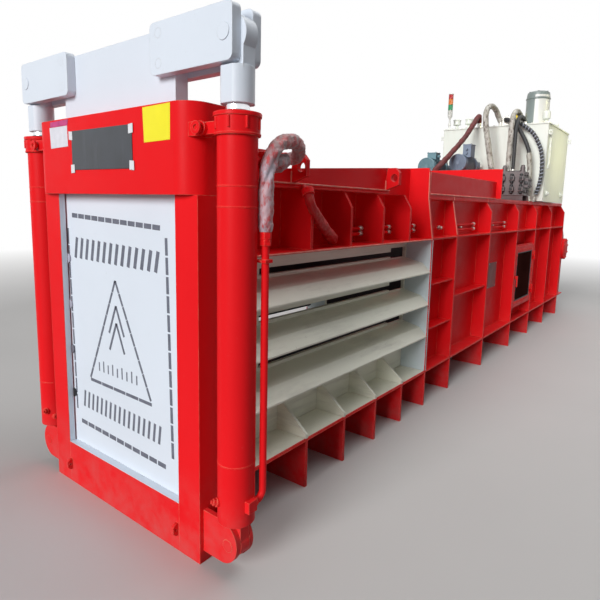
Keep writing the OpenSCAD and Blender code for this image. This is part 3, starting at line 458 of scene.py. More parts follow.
# Pressure lines: pairs of thin steel pipes that run along the flange through the ribs, held
# down by small clamps and ending in plated unions.
line_r, nut_r = 11, 19
front_line, rear_line = 452, 502
plug_x, plug_z = 2820, 1450
zinc = painted("zinc_plate", (0.62, 0.60, 0.55), 0.32, fade=0.2, peel=0.0002, metal=0.85)
lines = Shape()
unions = Shape()
for _ in mirrored():
    for z in (1472, 1435):
        run = [(1229, 418, z), (1238, 440, z), (1252, front_line, z), (2412, front_line, z)]
        lines.tube(run, line_r, 14)
        for x in (1592, 1990, 2404):
            unions.rod((x - 24, front_line, z), (x, front_line, z), nut_r, 6)
            unions.rod((x - 36, front_line, z), (x - 24, front_line, z), 15, 20)
    for x0, x1 in ((2971, 3695), (3869, 4700)):
        for z in (1470, 1424):
            run = [(x0, rear_line), (x1 - 30, rear_line), (x1 - 12, 499), (x1 - 3, 492), (x1, 478)]
            lines.tube([(x, y, z) for x, y in run], line_r, 14)
            unions.rod((x1 - 74, rear_line, z), (x1 - 46, rear_line, z), nut_r, 6)
            unions.rod((x1, 479, z), (x1, 487, z), nut_r, 6)
            unions.rod((x0 - 1, rear_line, z), (x0 + 14, rear_line, z), nut_r, 6)
    for x, y0, y1, z in ((1800, web_y, 466, 1452), (2200, web_y, 466, 1452), (3300, wall_y, 509.2, 1447),
                         (4250, wall_y, 509.2, 1447)):
        unions.box(x - 14, x + 14, y0 - 1, y1, z - 6, z + 6)
    for y0, y1, r, sides in ((-2, 14, 22, 6), (14, 38, 13, 20), (26, 34, 17, 6)):
        unions.rod((plug_x, wall_y + y0, plug_z), (plug_x, wall_y + y1, plug_z), r, sides)
lines.put("flange_lines")
unions.put("line_unions", zinc, "pin_steel", bevel=1.2)

# Bale chamber: folded side rails, gussets and wall plates sprayed a warm grey white, with
# runs of dirty water and dust on the sloping faces, pale edges as a painted highlight, and the faces inside
# the chamber painted near black as shade.
chamber_white = painted("chamber_white", (0.86, 0.86, 0.74), 0.42, fade=0.08, streaks=0.5, specks=0.45,
                        wave=0.004, stretch=(0.6, 1, 6), edge_glint_and_wear_tint=(0.86, 0.80, 0.70), inner=0.3655)
dress(chamber_white, "chamber_walls", "chamber_rails", "chamber_gussets")
# The end plates take the same painted shade inside and a salmon painted highlight on their edges.
end_white = painted("end_white", (0.62, 0.70, 0.74), 0.42, fade=0.1, streaks=0.3, specks=0.4,
                    edge_glint_and_wear_tint=(0.80, 0.56, 0.50), inner=0.3655)
dress(end_white, "chamber_ends")
film = 0.8
ledge_y = 600
ledge = Shape()
for _ in mirrored():
    ledge.box(frame_x0 + 1, end_x0 - 1, web_y + 1, ledge_y, base_z, base_z + film)
    for x in front_ribs:
        ledge.rod((x, web_y + 2, base_z + 1), (x, ledge_y, base_z + 1), 12, 8)
ledge.put("ledge_overspray", chamber_white, "white_paint")

# Gate and crosshead: one heavy slab sprayed a cool white, with the plates and eyes that
# the lift cylinders hold it by.
# The gate paint's pale edges are a painted highlight.
gate_white = painted("gate_white", (0.70, 0.76, 0.84), 0.38, fade=0.04, specks=0.15, wave=0.003,
                     dust_and_glint_tint=(0.45, 0.42, 0.40), edge_glint_and_wear_tint=(0.82, 0.84, 0.88))
dress(gate_white, "gate", "crosshead_ears", "rod_eyes", "crosshead_pins")

# Bare steel: floor plates, ram, blades and pins, polished or dulled by what slides on them.
# The lift rods are chromed; the main rod, deep inside the machine, is painted near black as shade.
mill_steel = painted("mill_steel", (0.30, 0.30, 0.31), 0.42, fade=0.25, streaks=0.5, stretch=(1, 6, 6),
                     streak_tint=(0.20, 0.13, 0.09), metal=0.85)
dress(mill_steel, "chamber_floor", "body_floor", "ram", "ram_wear", "shear_blade", "ram_pin")
pin_steel = painted("pin_steel", (0.45, 0.45, 0.46), 0.33, fade=0.2, metal=0.9)
dress(pin_steel, "rotor_teal", "rotor_blue")
chrome = painted("chrome", (0.86, 0.88, 0.91), 0.24, fade=0.04, peel=0.0001, metal=1.0)
dress(chrome, "lift_rods")
# Painted shade: the main rod is made near black.
rod_shade_dark = painted("rod_shade_dark", (0.10, 0.10, 0.105), 0.34, fade=0.3, peel=0.0001, metal=0.8)
dress(rod_shade_dark, "main_rod")

# Beam plates: a bare black board held by four strips of white tape, a bare yellow sticker
# and a bare white card with a magenta edge, all on the face of the top beam.


def span(node):
    """A node's box in millimetres, x0, x1, y0, y1, z0, z1, with x from the front of the tower."""
    low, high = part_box(node)
    return [1000 * v for v in (low.x - front_x, high.x - front_x, low.y, high.y, low.z, high.z)]


beam_face = span("tower_beam")[0]


def beam_card(name, material, slot, outline, proud=film, sunk=0.1, bevel=0.0):
    """A flat thing on the face of the beam, given by its corners in y and z."""
    card = Shape()
    card.plate(beam_face - proud, beam_face + sunk, outline)
    return card.put(name, material, slot, bevel=bevel)


board_black = painted("board_black", (0.045, 0.05, 0.06), 0.38, fade=0.25, fade_scale=9, streaks=0.35,
                      streak_tint=(0.11, 0.12, 0.14), stretch=(1, 9, 1), peel=0.0002)
board = beam_card("sign_board", board_black, "black_plate",
                  [(250, 1955), (252, 1767), (-255, 1762), (-252, 1952)], 4, 0.2, 0.8)
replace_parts(board, "beam_plates")
tape_white = painted("tape_white", (0.74, 0.75, 0.78), 0.3, fade=0.06, fade_scale=20, peel=0.0003)
tapes = Shape()
for y, z, tilt in ((258, 1933, 3), (-246, 1937, -4), (246, 1775, -3), (-250, 1776, 2)):
    tapes.plate(beam_face - 4.3, beam_face - 3.4,
                [(y + 17, z + 20 + tilt), (y + 18, z - 21 + tilt), (y - 17, z - 22), (y - 16, z + 19)])
tapes.put("board_tape", tape_white, "white_paint")
sticker_yellow = painted("sticker_yellow", (0.90, 0.80, 0.01), 0.34, fade=0.04, fade_scale=12, peel=0.0002,
                         wave=0.002)
beam_card("yellow_sticker", sticker_yellow, "yellow_plastic",
          [(-330, 2014), (-337, 1868), (-512, 1871), (-515, 2017)])
card_white = painted("card_white", (0.72, 0.72, 0.78), 0.5, fade=0.08, fade_scale=30, peel=0.0004,
                     wave=0.003)
beam_card("white_card", card_white, "white_paint", [(470, 1985), (462, 1880), (291, 1884), (294, 1986)])
card_magenta = painted("card_magenta", (0.55, 0.03, 0.20), 0.4, fade=0.25, fade_scale=22, streaks=0.6,
                       streak_tint=(0.85, 0.30, 0.42), stretch=(1, 1, 5))
beam_card("card_edge", card_magenta, "light_plastic",
          [(461, 2012), (463, 1986.5), (290, 1987.5), (281, 2016)])

# Overspray and gate marks: the gate was sprayed in place, so the reveals of the doorway and
# the ledge of the sill took white too; stencilled dashes, hatching and a lift arrow mark it.
door_half, sill_top, beam_low = 486, span("tower_sill")[5], span("tower_beam")[4]
gate_face = span("gate")[0]
over = Shape()
for _ in mirrored():
    over.box(2, gate_face - 8, door_half - film, door_half, sill_top, beam_low)
over.box(0.5, gate_face - 0.5, -door_half, door_half, sill_top, sill_top + film)
over.put("doorway_overspray", gate_white, "white_paint")
stencil_grey = painted("stencil_grey", (0.13, 0.14, 0.18), 0.55, fade=0.2, fade_scale=30, specks=0.5,
                       dust_and_glint_tint=(0.55, 0.58, 0.64), peel=0.0004)
marks = Shape()


def stroke(ya, za, yb, zb, width):
    """One stroke of stencil paint on the gate's face, from one point of the face to another."""
    a, b = Vector((ya, za)), Vector((yb, zb))
    half = (b - a).normalized() * 0.5
    side = Vector((-half.y, half.x)) * width
    marks.plate(gate_face - 0.4, gate_face + 0.2, [a + side, b + side, b - side, a - side])


def dashes(ya, za, yb, zb, count, width, gap):
    """A broken line of equal strokes with the same gap between them."""
    a, b = Vector((ya, za)), Vector((yb, zb))
    pitch = ((b - a).length + gap) / count
    step = (b - a).normalized()
    for k in range(count):
        stroke(*(a + step * pitch * k), *(a + step * (pitch * (k + 1) - gap)), width)


for row in ((433, 1538, -328, 1502, 12, 24, 8), (481, 1466, 458, 436, 11, 15, 8),
            (-370, 1459, -396, 413, 12, 19, 9), (419, 374, -341, 353, 11, 24, 9),
            (43, 1220, 305, 657, 9, 15, 3), (43, 1220, -233, 657, 9, 15, 3),
            (305, 646, -240, 640, 5, 17, 6)):
    dashes(*row)
for k in range(14):
    stroke(413 - 54 * k, 1308 - k, 391 - 54 * k, 1420 - 2 * k, 24)
for k in range(17):
    stroke(381 - 42 * k, 470 - k, 368 - 42 * k, 565 - k, 17)
for z in (1090, 1000):
    for y in (110, -22):
        stroke(43, z, y, z - 150, 15)
for k in range(9):
    stroke(215 - 42 * k, 712, 215 - 42 * k, 760 + 12 * (k % 2), 10)
marks.put("gate_marks", stencil_grey, "white_paint", "lifting_gate")

# Guide pads: round blocks of nylon between the gate and its columns, dark with grease low
# down and bleached by paint mist higher up.
pad = Finish("pad_nylon", (0.20, 0.20, 0.24), 0.45)
pale = pad.mix(pad.spread(pad.mottle(24, 4.0), 0.35, 0.65), (0.36, 0.34, 0.42), (0.52, 0.52, 0.60))
pad.set(Base_Color=pad.mix(pad.spread(pad.along("Z"), 0.55, 1.15), (0.012, 0.012, 0.014), pale),
        Normal=pad.bump(pad.mottle(160, 3.0), 0.0006))
dress(pad.material, "gate_pads")

# Cylinder trim: turned seam rings where the tube sections are joined, a lip and a seal in
# the gland, spanner slots round it and bolts at the foot, all painted with the tube.
tube = span("lift_tubes")
tube_r = (tube[1] - tube[0]) / 2
lift_x = (tube[0] + tube[1]) / 2
lift_y = tube[3] - tube_r
rod_r = 48
gland = span("lift_glands")
gland_r = gland[1] - lift_x
low, top = gland[4:]
trim = Shape()
seals = Shape()
for _ in mirrored():
    foot = (lift_x, lift_y, 0)
    for z in (1686, 1605, 529):
        ring = ((-1, -4), (1.1, -3), (1.4, 0), (1.1, 3), (-1, 4))
        trim.spin(foot, [(tube_r + r, z + h) for r, h in ring], sides=64)
    trim.spin(foot, [(gland_r - 1, top - 16), (gland_r + 5, top - 15), (gland_r + 6, top - 3),
                     (gland_r + 4, top + 1), (rod_r + 26, top + 3), (rod_r + 24, top - 1)], sides=64)
    trim.spin(foot, [(gland_r - 1, low + 2), (gland_r + 2, low), (gland_r + 3, low + 9),
                     (gland_r - 1, low + 12)], sides=64)
    for c, d in turns(8, 22.5):
        x, y = lift_x + gland_r * c, lift_y + gland_r * d
        trim.rod((x, y, top - 62), (x, y, top - 18), 6, 10)
    seals.spin(foot, [(rod_r + 24, top), (rod_r + 22, top + 5), (rod_r + 8, top + 6),
                      (rod_r + 1, top + 11), (rod_r + 0.6, top)], sides=48)
    for angle, z, r in ((205, 352, 15), (238, 318, 12)):
        c, d = cos(radians(angle)), sin(radians(angle))
        seat = Vector((lift_x + tube_r * c, lift_y + tube_r * d, z))
        out = Vector((c, d, 0.25)).normalized()
        trim.rod(seat - out * 6, seat + out * 10, r * 1.3)
        trim.rod(seat + out * 10, seat + out * 24, r, 6)
        trim.rod(seat + out * 24, seat + out * 33, r * 0.5, 12)
trim.put("cylinder_trim")
rubber_black = painted("rubber_black", (0.018, 0.018, 0.02), 0.5, fade=0.3, fade_scale=16, specks=0.3,
                       dust_and_glint_tint=(0.16, 0.13, 0.12))
seals.put("rod_seals", rubber_black, "hose_rubber")

# Port fittings: hexagon nuts and collars on the lift ports, the steel pipes and the unions
# in the long beams, painted over with everything else.
tube_x, tube_y = 74, 783
port_x, port_y, pipe_top = 153.2, 865, span("lift_pipes")[5]
high_x, high_y, high_z = 181.1, 822, 1790
run_x, run_z = 543, 1840
beam_unions = ((run_x, run_z), (411, high_z))
nuts = Shape()
for _ in mirrored():
    for z0, z1, r in ((1452, 1476, 25), (pipe_top - 30, pipe_top - 4, 26)):
        nuts.rod((port_x, port_y, z0), (port_x, port_y, z1), r, 6)
    nuts.rod((high_x - 2, high_y, high_z), (high_x + 24, high_y, high_z), 29, 6)
    nuts.rod((high_x + 24, high_y, high_z), (high_x + 44, high_y, high_z), 21, 20)
    nuts.spin((high_x, high_y, high_z), [(0, 32), (17, 32), (24, 30), (24, 38), (15, 42), (0, 42)], sides=6)
    for x, z in beam_unions:
        nuts.rod((x, 632, z), (x, 655, z), 30, 6)
        nuts.rod((x, 655, z), (x, 684, z), 22, 20)
nuts.put("port_nuts", bevel=1.5)

# Lift pipes: steel pipe that turns into a welded boss low on each tube, ends in a union for
# the hose, and is held by a cleat halfway; above it a second boss takes the upper hose.


def way(corners, bends, step=6):
    """Points along a run through the corners, each one turned with its own bend radius."""
    corners = [Vector(c) for c in corners]
    path = [corners[0]]
    for before, here, after, r in zip(corners, corners[1:], corners[2:], bends):
        into, out = (here - before).normalized(), (after - here).normalized()
        angle = into.angle(out)
        start = here - into * (r * tan(angle / 2))
        centre = start + (out - into * into.dot(out)).normalized() * r
        count = max(3, int(angle * r / step))
        for k in range(count + 1):
            path.append(centre + Matrix.Rotation(angle * k / count, 3, into.cross(out)) @ (start - centre))
    path.append(corners[-1])
    fine = [path[0]]
    for p in path[1:]:
        last = fine[-1]
        count = max(1, int((p - last).length / step))
        fine += [last.lerp(p, (k + 1) / count) for k in range(count)]
    return fine


low_z = 349
pipes = Shape()
ports = Shape()
for _ in mirrored():
    inward = Vector((-1, -0.1, 0)).normalized()
    low = Vector((port_x, port_y, low_z))
    pipes.tube(way([(port_x, port_y, pipe_top - 40), low, low + inward * 58], (42,), 4), 16, 20)
    pipes.spin((port_x, port_y, pipe_top), [(0, -46), (21, -46), (23, -43), (23, 0), (0, 0)], sides=32)
    pipes.box(port_x - 22, port_x + 22, port_y - 22, port_y + 22, 1382, 1396)
    pipes.box(tube_x + 52, port_x, tube_y + 44, port_y - 4, 1384, 1394)
    boss = low + inward * 42
    ports.rod(boss, boss + inward * 16, 24, 6)
    ports.rod(boss + inward * 16, boss + inward * 24, 19)
    ports.box(tube_x - 26, tube_x + 24, tube_y + 60, port_y + 20, low_z - 26, low_z + 26)
    high = Vector((high_x, high_y, high_z))
    toward = Vector((tube_x - high_x, tube_y - high_y, 0)).normalized()
    ports.spin(high - Vector((0, 0, 32)), [(0, 0), (20, 0), (22, 2), (22, 62), (20, 64), (0, 64)], sides=32)
    ports.rod(high, high + toward * 44, 17)
    for x, z in beam_unions:
        ports.rod((x, rim_y, z), (x, 640, z), 24)
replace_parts(pipes.put("steel_pipes", bevel=1), "lift_pipes")
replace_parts(ports.put("port_bosses", bevel=1), "lift_ports")

# Hose sleeves: thin light cloth pulled over the lift hoses, wrinkled along its length,
# tied at both ends and flecked with the red that was sprayed near it.


def spotted(finish, base, spots, scale, low, high, stretch=0.5):
    """The last coat of a cloth: spots of spray and dirt over its own colour, on the guard hose paler spots
    as painted glints, and a fine crinkle.
    """
    fleck = finish.spread(finish.mottle(scale, 5.0, (1, 1, stretch), 0.65), low, high)
    crinkle = finish.bump(finish.mottle(60, 5.0, (1, 1, 0.35)), 0.004)
    finish.set(Base_Color=finish.mix(fleck, base, spots), Normal=crinkle)


sleeve = Finish("sleeve_cloth", (0.74, 0.55, 0.60), 0.5, Sheen_Weight=0.25)
haze = sleeve.spread(sleeve.mottle(7, 3.0), 0.35, 0.65)
cloth = sleeve.mix(haze, (0.42, 0.36, 0.42), (0.46, 0.24, 0.25))
cloth = sleeve.mix(sleeve.spread(sleeve.along("Z"), 1.74, 1.88, 0, 0.8), cloth, (0.30, 0.17, 0.16))
spotted(sleeve, cloth, (0.42, 0.04, 0.045), 38, 0.46, 0.60)


def flow(points, step=6):
    """A smooth run through the points, in short steps."""
    points = [Vector(p) for p in points]
    points = [points[0] * 2 - points[1]] + points + [points[-1] * 2 - points[-2]]
    out = []
    for a, b, c, d in zip(points, points[1:], points[2:], points[3:]):
        count = max(2, int((c - b).length / step))
        square, cube = 2 * a - 5 * b + 4 * c - d, 3 * b - a - 3 * c + d
        for t in (k / count for k in range(count)):
            out.append(0.5 * (2 * b + (c - a) * t + square * t * t + cube * t ** 3))
    return out + [points[-2]]


def wrinkled(points, radius, seed, depth=0.16):
    """A sleeve over a run of points, its wall creased and gathered in the way loose cloth lies."""

    def crease(i, t):
        p = placed(points[i]) * 0.021 + Vector((seed, cos(t) * 1.3, sin(t) * 1.3))
        fold = noise.noise(p) * 0.9 + noise.noise(p * 2.7) * 0.5
        ends = min(1.0, min(i, len(points) - 1 - i) / 5)
        return radius * (0.86 + 0.14 * ends + depth * fold * ends)

    return crease


sleeves = Shape()
for s in mirrored():
    rising = flow([(port_x, port_y, 1508), (port_x, port_y, 1640), (port_x + 8, port_y, 1760),
                   (port_x + 62, port_y - 6, 1845), (port_x + 170, port_y - 24, 1888),
                   (port_x + 280, port_y - 62, 1876), (port_x + 352, port_y - 118, 1850),
                   (run_x, 700, run_z), (run_x, 660, run_z)], 5)
    sleeves.tube(rising, wrinkled(rising, 30, 3 + s, 0.26), 32)
    upper = flow([(high_x + 44, high_y, high_z), (300, high_y - 8, 1806), (372, 780, 1808),
                  (408, 720, high_z), (411, 660, high_z)], 5)
    sleeves.tube(upper, wrinkled(upper, 27, 9 + s, 0.28), 32)
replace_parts(sleeves.put("hose_sleeves", sleeve.material, "sleeve"), "lift_hoses")

# Oil tank and lid: folded sheet sprayed a warm white, the lid screwed down all round; a
# sight glass, a drain and two breathers are screwed into it.
# The tank paint's pale edges are a painted highlight.
tank_white = painted("tank_white", (0.76, 0.79, 0.72), 0.36, fade=0.05, wave=0.004, specks=0.2,
                     dust_and_glint_tint=(0.30, 0.28, 0.20), edge_glint_and_wear_tint=(0.74, 0.74, 0.70), streaks=0.25,
                     streak_tint=(0.42, 0.42, 0.28), stretch=(5, 5, 0.5))
dress(tank_white, "tank", "tank_lid")
tank = span("tank")
lid = span("tank_lid")
lid_z = tank[5] + 14
screws = Shape()


def screw(shape, seat, r=11, head=9, axis=up):
    """A hexagon screw with its washer, its head standing out along axis."""
    seat, axis = Vector(seat), Vector(axis)
    shape.rod(seat, seat + axis * 2.5, r * 1.5, 20)
    shape.rod(seat + axis * 2.5, seat + axis * (2.5 + head), r, 6)


def row(a, b, count):
    """Evenly spaced places from a to b."""
    return [a + k * (b - a) / (count - 1) for k in range(count)]


for x in row(lid[0] + 22, lid[1] - 22, 13):
    for y in (lid[2] + 22, lid[3] - 22):
        screw(screws, (x, y, lid_z))
for y in row(lid[2] + 22, lid[3] - 22, 15)[1:-1]:
    for x in (lid[0] + 22, lid[1] - 22):
        screw(screws, (x, y, lid_z))
screws.put("lid_screws", zinc, "pin_steel", bevel=0.6)

glass_x, glass_y = tank[0] + 118, -670
gauge = Shape()
for half, out, z0, z1 in ((17, 12, 2150, 2580), (24, 17, 2140, 2182), (24, 17, 2546, 2590)):
    gauge.box(glass_x - half, glass_x + half, glass_y - out, glass_y + 0.2, z0, z1)
gauge.put("gauge_frame", tank_white, "tank_paint", bevel=2)
glass = Finish("gauge_glass", (0.92, 0.95, 0.90), 0.08, Coat_Weight=0.8)
cloudy = glass.spread(glass.mottle(30, 2.0), 0.4, 0.6)
glass.set(Base_Color=glass.mix(cloudy, (0.80, 0.80, 0.66), (0.90, 0.90, 0.84)))
sight = Shape()
sight.rod((glass_x, glass_y - 16, 2182), (glass_x, glass_y - 16, 2546), 8, 20)
sight.put("gauge_glass", glass.material, "tank_paint")

fittings = Shape()
fittings.spin((5757, -600, lid_z), [(30, 0), (30, 10), (18, 12), (18, 60), (44, 62), (46, 70), (46, 150),
                                    (42, 158), (30, 164), (0, 166)])
fittings.spin((6160, -640, lid_z), [(16, 0), (16, 20), (26, 22), (26, 48), (20, 54), (0, 56)], sides=24)
for y in (430, 600):
    fittings.spin((5870, y, lid_z + 88), [(30, 0), (52, 3), (54, 12), (47, 14), (47, 58), (54, 60),
                                          (54, 70), (40, 80), (0, 84)])
for x in (tank[0] + 150, tank[1] - 200):
    fittings.spin((x, glass_y, 1830), [(44, 0), (44, 6), (30, 8), (30, 24), (14, 26), (14, 40), (0, 42)],
                  (0, -1, 0), 32)
hatch_y, hatch_z = 300, 2150
fittings.spin((tank[0], hatch_y, hatch_z), [(190, 0), (190, 9), (150, 11), (0, 12)], (-1, 0, 0), 48)
for c, d in turns(12):
    screw(fittings, (tank[0] - 9, hatch_y + 170 * c, hatch_z + 170 * d), 9, 7, (-1, 0, 0))
for y in (tank[2] + 46, tank[3] - 46):
    for x in tank[:2]:
        bead(fittings, (x, y, tank[4] + 2), (x, y, tank[5] - 2), 3.5, 9)
    bead(fittings, (tank[0], y, tank[4] + 1), (tank[1], y, tank[4] + 1), 4, 9)
fittings.put("tank_fittings", tank_white, "tank_paint", bevel=1)

# Return filter: a cast bowl under a screwed head, white on its near half, where a thin white
# sheet is glued round it, and dark grey on its far half, which is a painted dark reflection.


def middle(box):
    """The middle of a box in x and y."""
    return (box[0] + box[1]) / 2, (box[2] + box[3]) / 2


filter_x, filter_y = middle(span("tank_filter"))
filter_r = 142
# Painted reflection: the bowl's dark grey stands for white paint that mirrors dark surroundings.
filter_dark_reflection = painted("filter_dark_reflection", (0.20, 0.24, 0.23), 0.30, fade=0.1, peel=0.0012)
bowl = Shape()
wall = [(18, 0), (18, 22), (6, 24), (0, 34), (0, 350), (7, 354), (7, 366), (0, 370), (-2, 402), (-8, 436),
        (-30, 450)]
bowl.spin((filter_x, filter_y, lid_z), [(filter_r + r, h) for r, h in wall]
          + [(60, 455), (56, 447), (22, 447), (20, 455), (0, 456)], sides=72)
for c, d in turns(6, 12):
    for r, h, size, head in ((filter_r - 26, 446, 10, 0.6), (filter_r + 9, 22, 6, 6)):
        screw(bowl, (filter_x + r * c, filter_y + r * d, lid_z + h), size, head)
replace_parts(bowl.put("filter_bowl", filter_dark_reflection, "tank_paint"), "tank_filter")
label_white = painted("label_white", (0.72, 0.72, 0.68), 0.32, fade=0.05, peel=0.0003, specks=0.1)
label = Shape()
arc = row(radians(178), radians(338), 41)
for low, high, r in ((40, 346, filter_r + 1.2), (372, 400, filter_r + 0.6)):
    ring = [(filter_x + r * cos(a), filter_y + r * sin(a)) for a in arc]
    ring += [(filter_x + (r - 3) * cos(a), filter_y + (r - 3) * sin(a)) for a in arc[::-1]]
    label.solid([(x, y, lid_z + low) for x, y in ring], [(x, y, lid_z + high) for x, y in ring])
label.put("filter_label", label_white, "tank_paint", smooth=50)

# Oil filler cap: moulded yellow plastic with grip ribs and a raised disc on top; it turns
# with the cap and the neck below it stays.
cap_box = span("filler_cap")
cap_x, cap_y = middle(cap_box)
cap_z, cap_r = cap_box[4], (cap_box[1] - cap_box[0]) / 2
cap_yellow = painted("cap_yellow", (0.78, 0.56, 0.01), 0.32, fade=0.06, peel=0.0003, specks=0.2)
cap = Shape()
wall = [(-4, 0), (-1, 4), (-3, 10), (-5, 14), (-5, 92), (-9, 104), (-20, 110), (-26, 108), (-30, 116)]
cap.spin((cap_x, cap_y, cap_z), [(0, 0)] + [(cap_r + r, h) for r, h in wall] + [(0, 119)], sides=64)
for c, d in turns(24):
    x, y = cap_x + (cap_r - 6) * c, cap_y + (cap_r - 6) * d
    cap.rod((x, y, cap_z + 14), (x, y, cap_z + 98), 5, 8, 4)
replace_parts(cap.put("ribbed_cap", cap_yellow, "yellow_plastic", "oil_cap"), "filler_cap")

# Signal light: a white base and stem with four moulded lenses stacked on it, each with its
# inner ribs showing as fine rings, under a white lid.
light_x, light_y = middle(span("signal_light"))
lens_r, lens_h, stem_top = 33, 75, 2890
light_white = painted("light_white", (0.72, 0.72, 0.68), 0.35, fade=0.05, peel=0.0002)
stem = Shape()
wall = [(47, 0), (47, 9), (40, 12), (15, 14), (12, 20), (12, 60), (19, 62), (19, 92), (12, 94), (12, 150),
        (22, 170), (31, 186), (33, 192), (33, 196), (0, 196)]
stem.spin((light_x, light_y, lid_z), wall, sides=40)
stem.spin((light_x, light_y, stem_top + 4 * lens_h - 14),
          [(lens_r, 0), (lens_r, 9), (lens_r - 5, 13.5), (0, 14)], sides=40)
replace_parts(stem.put("light_stem", light_white, "light_plastic"), "signal_light")
lens_tints = {"white": (0.72, 0.72, 0.66), "green": (0.02, 0.36, 0.13), "orange": (0.85, 0.24, 0.04),
              "red": (0.62, 0.02, 0.02)}
for k, (word, tint) in enumerate(lens_tints.items()):
    top = lens_h - (16 if k == 3 else 2)
    rings = [(0, 0), (lens_r - 2, 0), (lens_r, 2)]
    for h in range(4, 67, 7):
        rings += [(lens_r, h), (lens_r - 1.6, h + 3)]
    rings = [p for p in rings if p[1] < top - 2] + [(lens_r, top - 1), (lens_r - 2, top), (0, top)]
    lens = Shape()
    lens.spin((light_x, light_y, stem_top + k * lens_h), rings, sides=40)
    plastic = Finish("lens_" + word, tint, 0.16, Coat_Weight=0.5, Transmission_Weight=0.15)
    cloudy = plastic.spread(plastic.mottle(40, 2.0), 0.3, 0.7)
    plastic.set(Base_Color=plastic.mix(cloudy, [c * 0.86 for c in tint], tint),
                Normal=plastic.bump(plastic.mottle(300, 2.0), 0.0003))
    lens.put("lens_" + word, plastic.material, "light_plastic")

# Guard hose: a wide hose in the same wrinkled cloth that leads a cable from the long beam
# outside the first rib down to the flange, caught by the red spray, its paler red flecks painted glints.
guards = Shape()
clips = Shape()
for s in mirrored():
    slant = way([(790, 566, 1712), (772, 612, 1688), (764, 636, 1622), (916, 592, 1526), (1091, 540, 1441),
                 (1150, 520, 1412)], (24, 70, 60, 40), 5)
    crease = wrinkled(slant, 30, 5 + s, 0.24)
    guards.tube(slant, lambda i, t: crease(i, t) * (0.72 + 0.5 * i / len(slant)), 32)
    clips.box(905, 925, web_y - 1, 594, 1498, 1506)
    clips.rod((770, 606, 1700), (764, 622, 1672), 33, 20)
guard = Finish("guard_cloth", (0.55, 0.05, 0.05), 0.5, Specular_IOR_Level=0.3)
# Paler red spots: painted glints.
spotted(guard, (0.50, 0.010, 0.012), (0.50, 0.07, 0.05), 30, 0.50, 0.70)
guards.put("guard_hoses", guard.material, "sleeve")
clips.put("guard_clips", bevel=1)

# Electric motors: cast housings with cooling fins, a fan cowl with a round grille at the
# front, a terminal box and an eye, each bolted to a welded stool on the cover.
motor_len, cover_z = 400, rim_z
drives = ((4400, 375, 2100), (4800, 150, 2170))
aft = (1, 0, 0)
turned_parts = (
    ([(24, 58), (92, 58), (104, 50), (106, 44), (106, 8), (103, 3), (98, 1), (98, 8), (24, 10)], 64),
    ([(24, 58), (95, 58), (95, 352), (24, 352)], 48),
    ([(24, 342), (101, 342), (104, 346), (104, 356), (86, 366), (84, 386), (110, 387), (110, 400),
      (24, 400)], 64),
    ([(24, 60), (101, 60), (101, 74), (24, 74)], 64))


def motor(x, y, z, terminals, glands):
    """One motor about the shaft line that starts at x, with its terminal box and cable glands."""
    made = Shape()
    nose = Vector((x, y, z))
    for profile, sides in turned_parts:
        made.spin(nose, profile, aft, sides)
    for c, d in turns(40, 4.5):
        if d > -0.88:
            u, v = Vector((0, c, d)), Vector((0, -d, c)) * 2
            fin = [nose + u * r + v * w for r, w in ((92, 1.3), (108, 0.8), (108, -0.8), (92, -1.3))]
            made.solid([p + Vector((76, 0, 0)) for p in fin], [p + Vector((340, 0, 0)) for p in fin])
    for r in (30, 44, 58, 72, 86):
        made.hoop(x + 6, y, z, r, 2.6)
    for c, d in turns(8):
        made.rod((x + 5, y, z), (x + 5, y + 100 * c, z + 100 * d), 2.6, 8)
    made.rod((x + 3, y, z), (x + 9, y, z), 24, 32)
    for dx in (100, 280):
        for dy in (-66, 66):
            made.box(x + dx, x + dx + 50, y + dy - 18, y + dy + 18, z - 132, z - 66)
            screw(made, (x + dx + 25, y + dy, z - 118), 9, 8)
    made.box(x + 80, x + 350, y - 96, y + 96, z - 146, z - 132)
    for dx in (84, 334):
        made.box(x + dx, x + dx + 12, y - 85, y + 85, cover_z, z - 146)
    for dy in (-85, 73):
        made.box(x + 96, x + 334, y + dy, y + dy + 12, cover_z + 120, z - 146)
    x0, x1, y0, y1, z0, z1, z2 = (p + q for p, q in zip(terminals, (x, x, y, y, z, z, z)))
    made.box(x0, x1, y0, y1, z0, z1)
    made.box(x0 - 4, x1 + 4, y0 - 4, y1 + 4, z1, z2)
    for lid_x in (x0 + 6, x1 - 6):
        for lid_y in (y0 + 6, y1 - 6):
            screw(made, (lid_x, lid_y, z2), 5, 5)
    for a, b in glands:
        made.rod(nose + Vector(a), nose + Vector(b), 15, 6)
    made.hoop(x + 318, y, z + 128, 22, 6, 24, 10)
    made.rod((x + 318, y, z + 92), (x + 318, y, z + 108), 14, 20)
    return made


# The pale edges of both motor paints are a painted highlight.
teal = painted("motor_teal", (0.15, 0.27, 0.31), 0.36, fade=0.1, specks=0.25, shine=0.35,
               dust_and_glint_tint=(0.30, 0.28, 0.25), edge_glint_and_wear_tint=(0.30, 0.42, 0.42), edge_r=0.003)
blue_grey = painted("motor_blue_grey", (0.19, 0.24, 0.32), 0.36, fade=0.1, specks=0.25, shine=0.35,
                    dust_and_glint_tint=(0.30, 0.28, 0.25), edge_glint_and_wear_tint=(0.38, 0.42, 0.48), edge_r=0.003)
first = motor(*drives[0], (150, 270, -55, 55, 96, 168, 177), [((210, -55, 132), (210, -84, 132))])
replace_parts(first.put("teal_motor", teal, "teal_paint", bevel=0.8), "motors")
second = motor(*drives[1], (110, 250, -120, -20, 70, 217, 227),
               [((84, -70, h), (112, -70, h)) for h in (120, 165)])
second.put("blue_motor", blue_grey, "grey_paint", bevel=0.8)
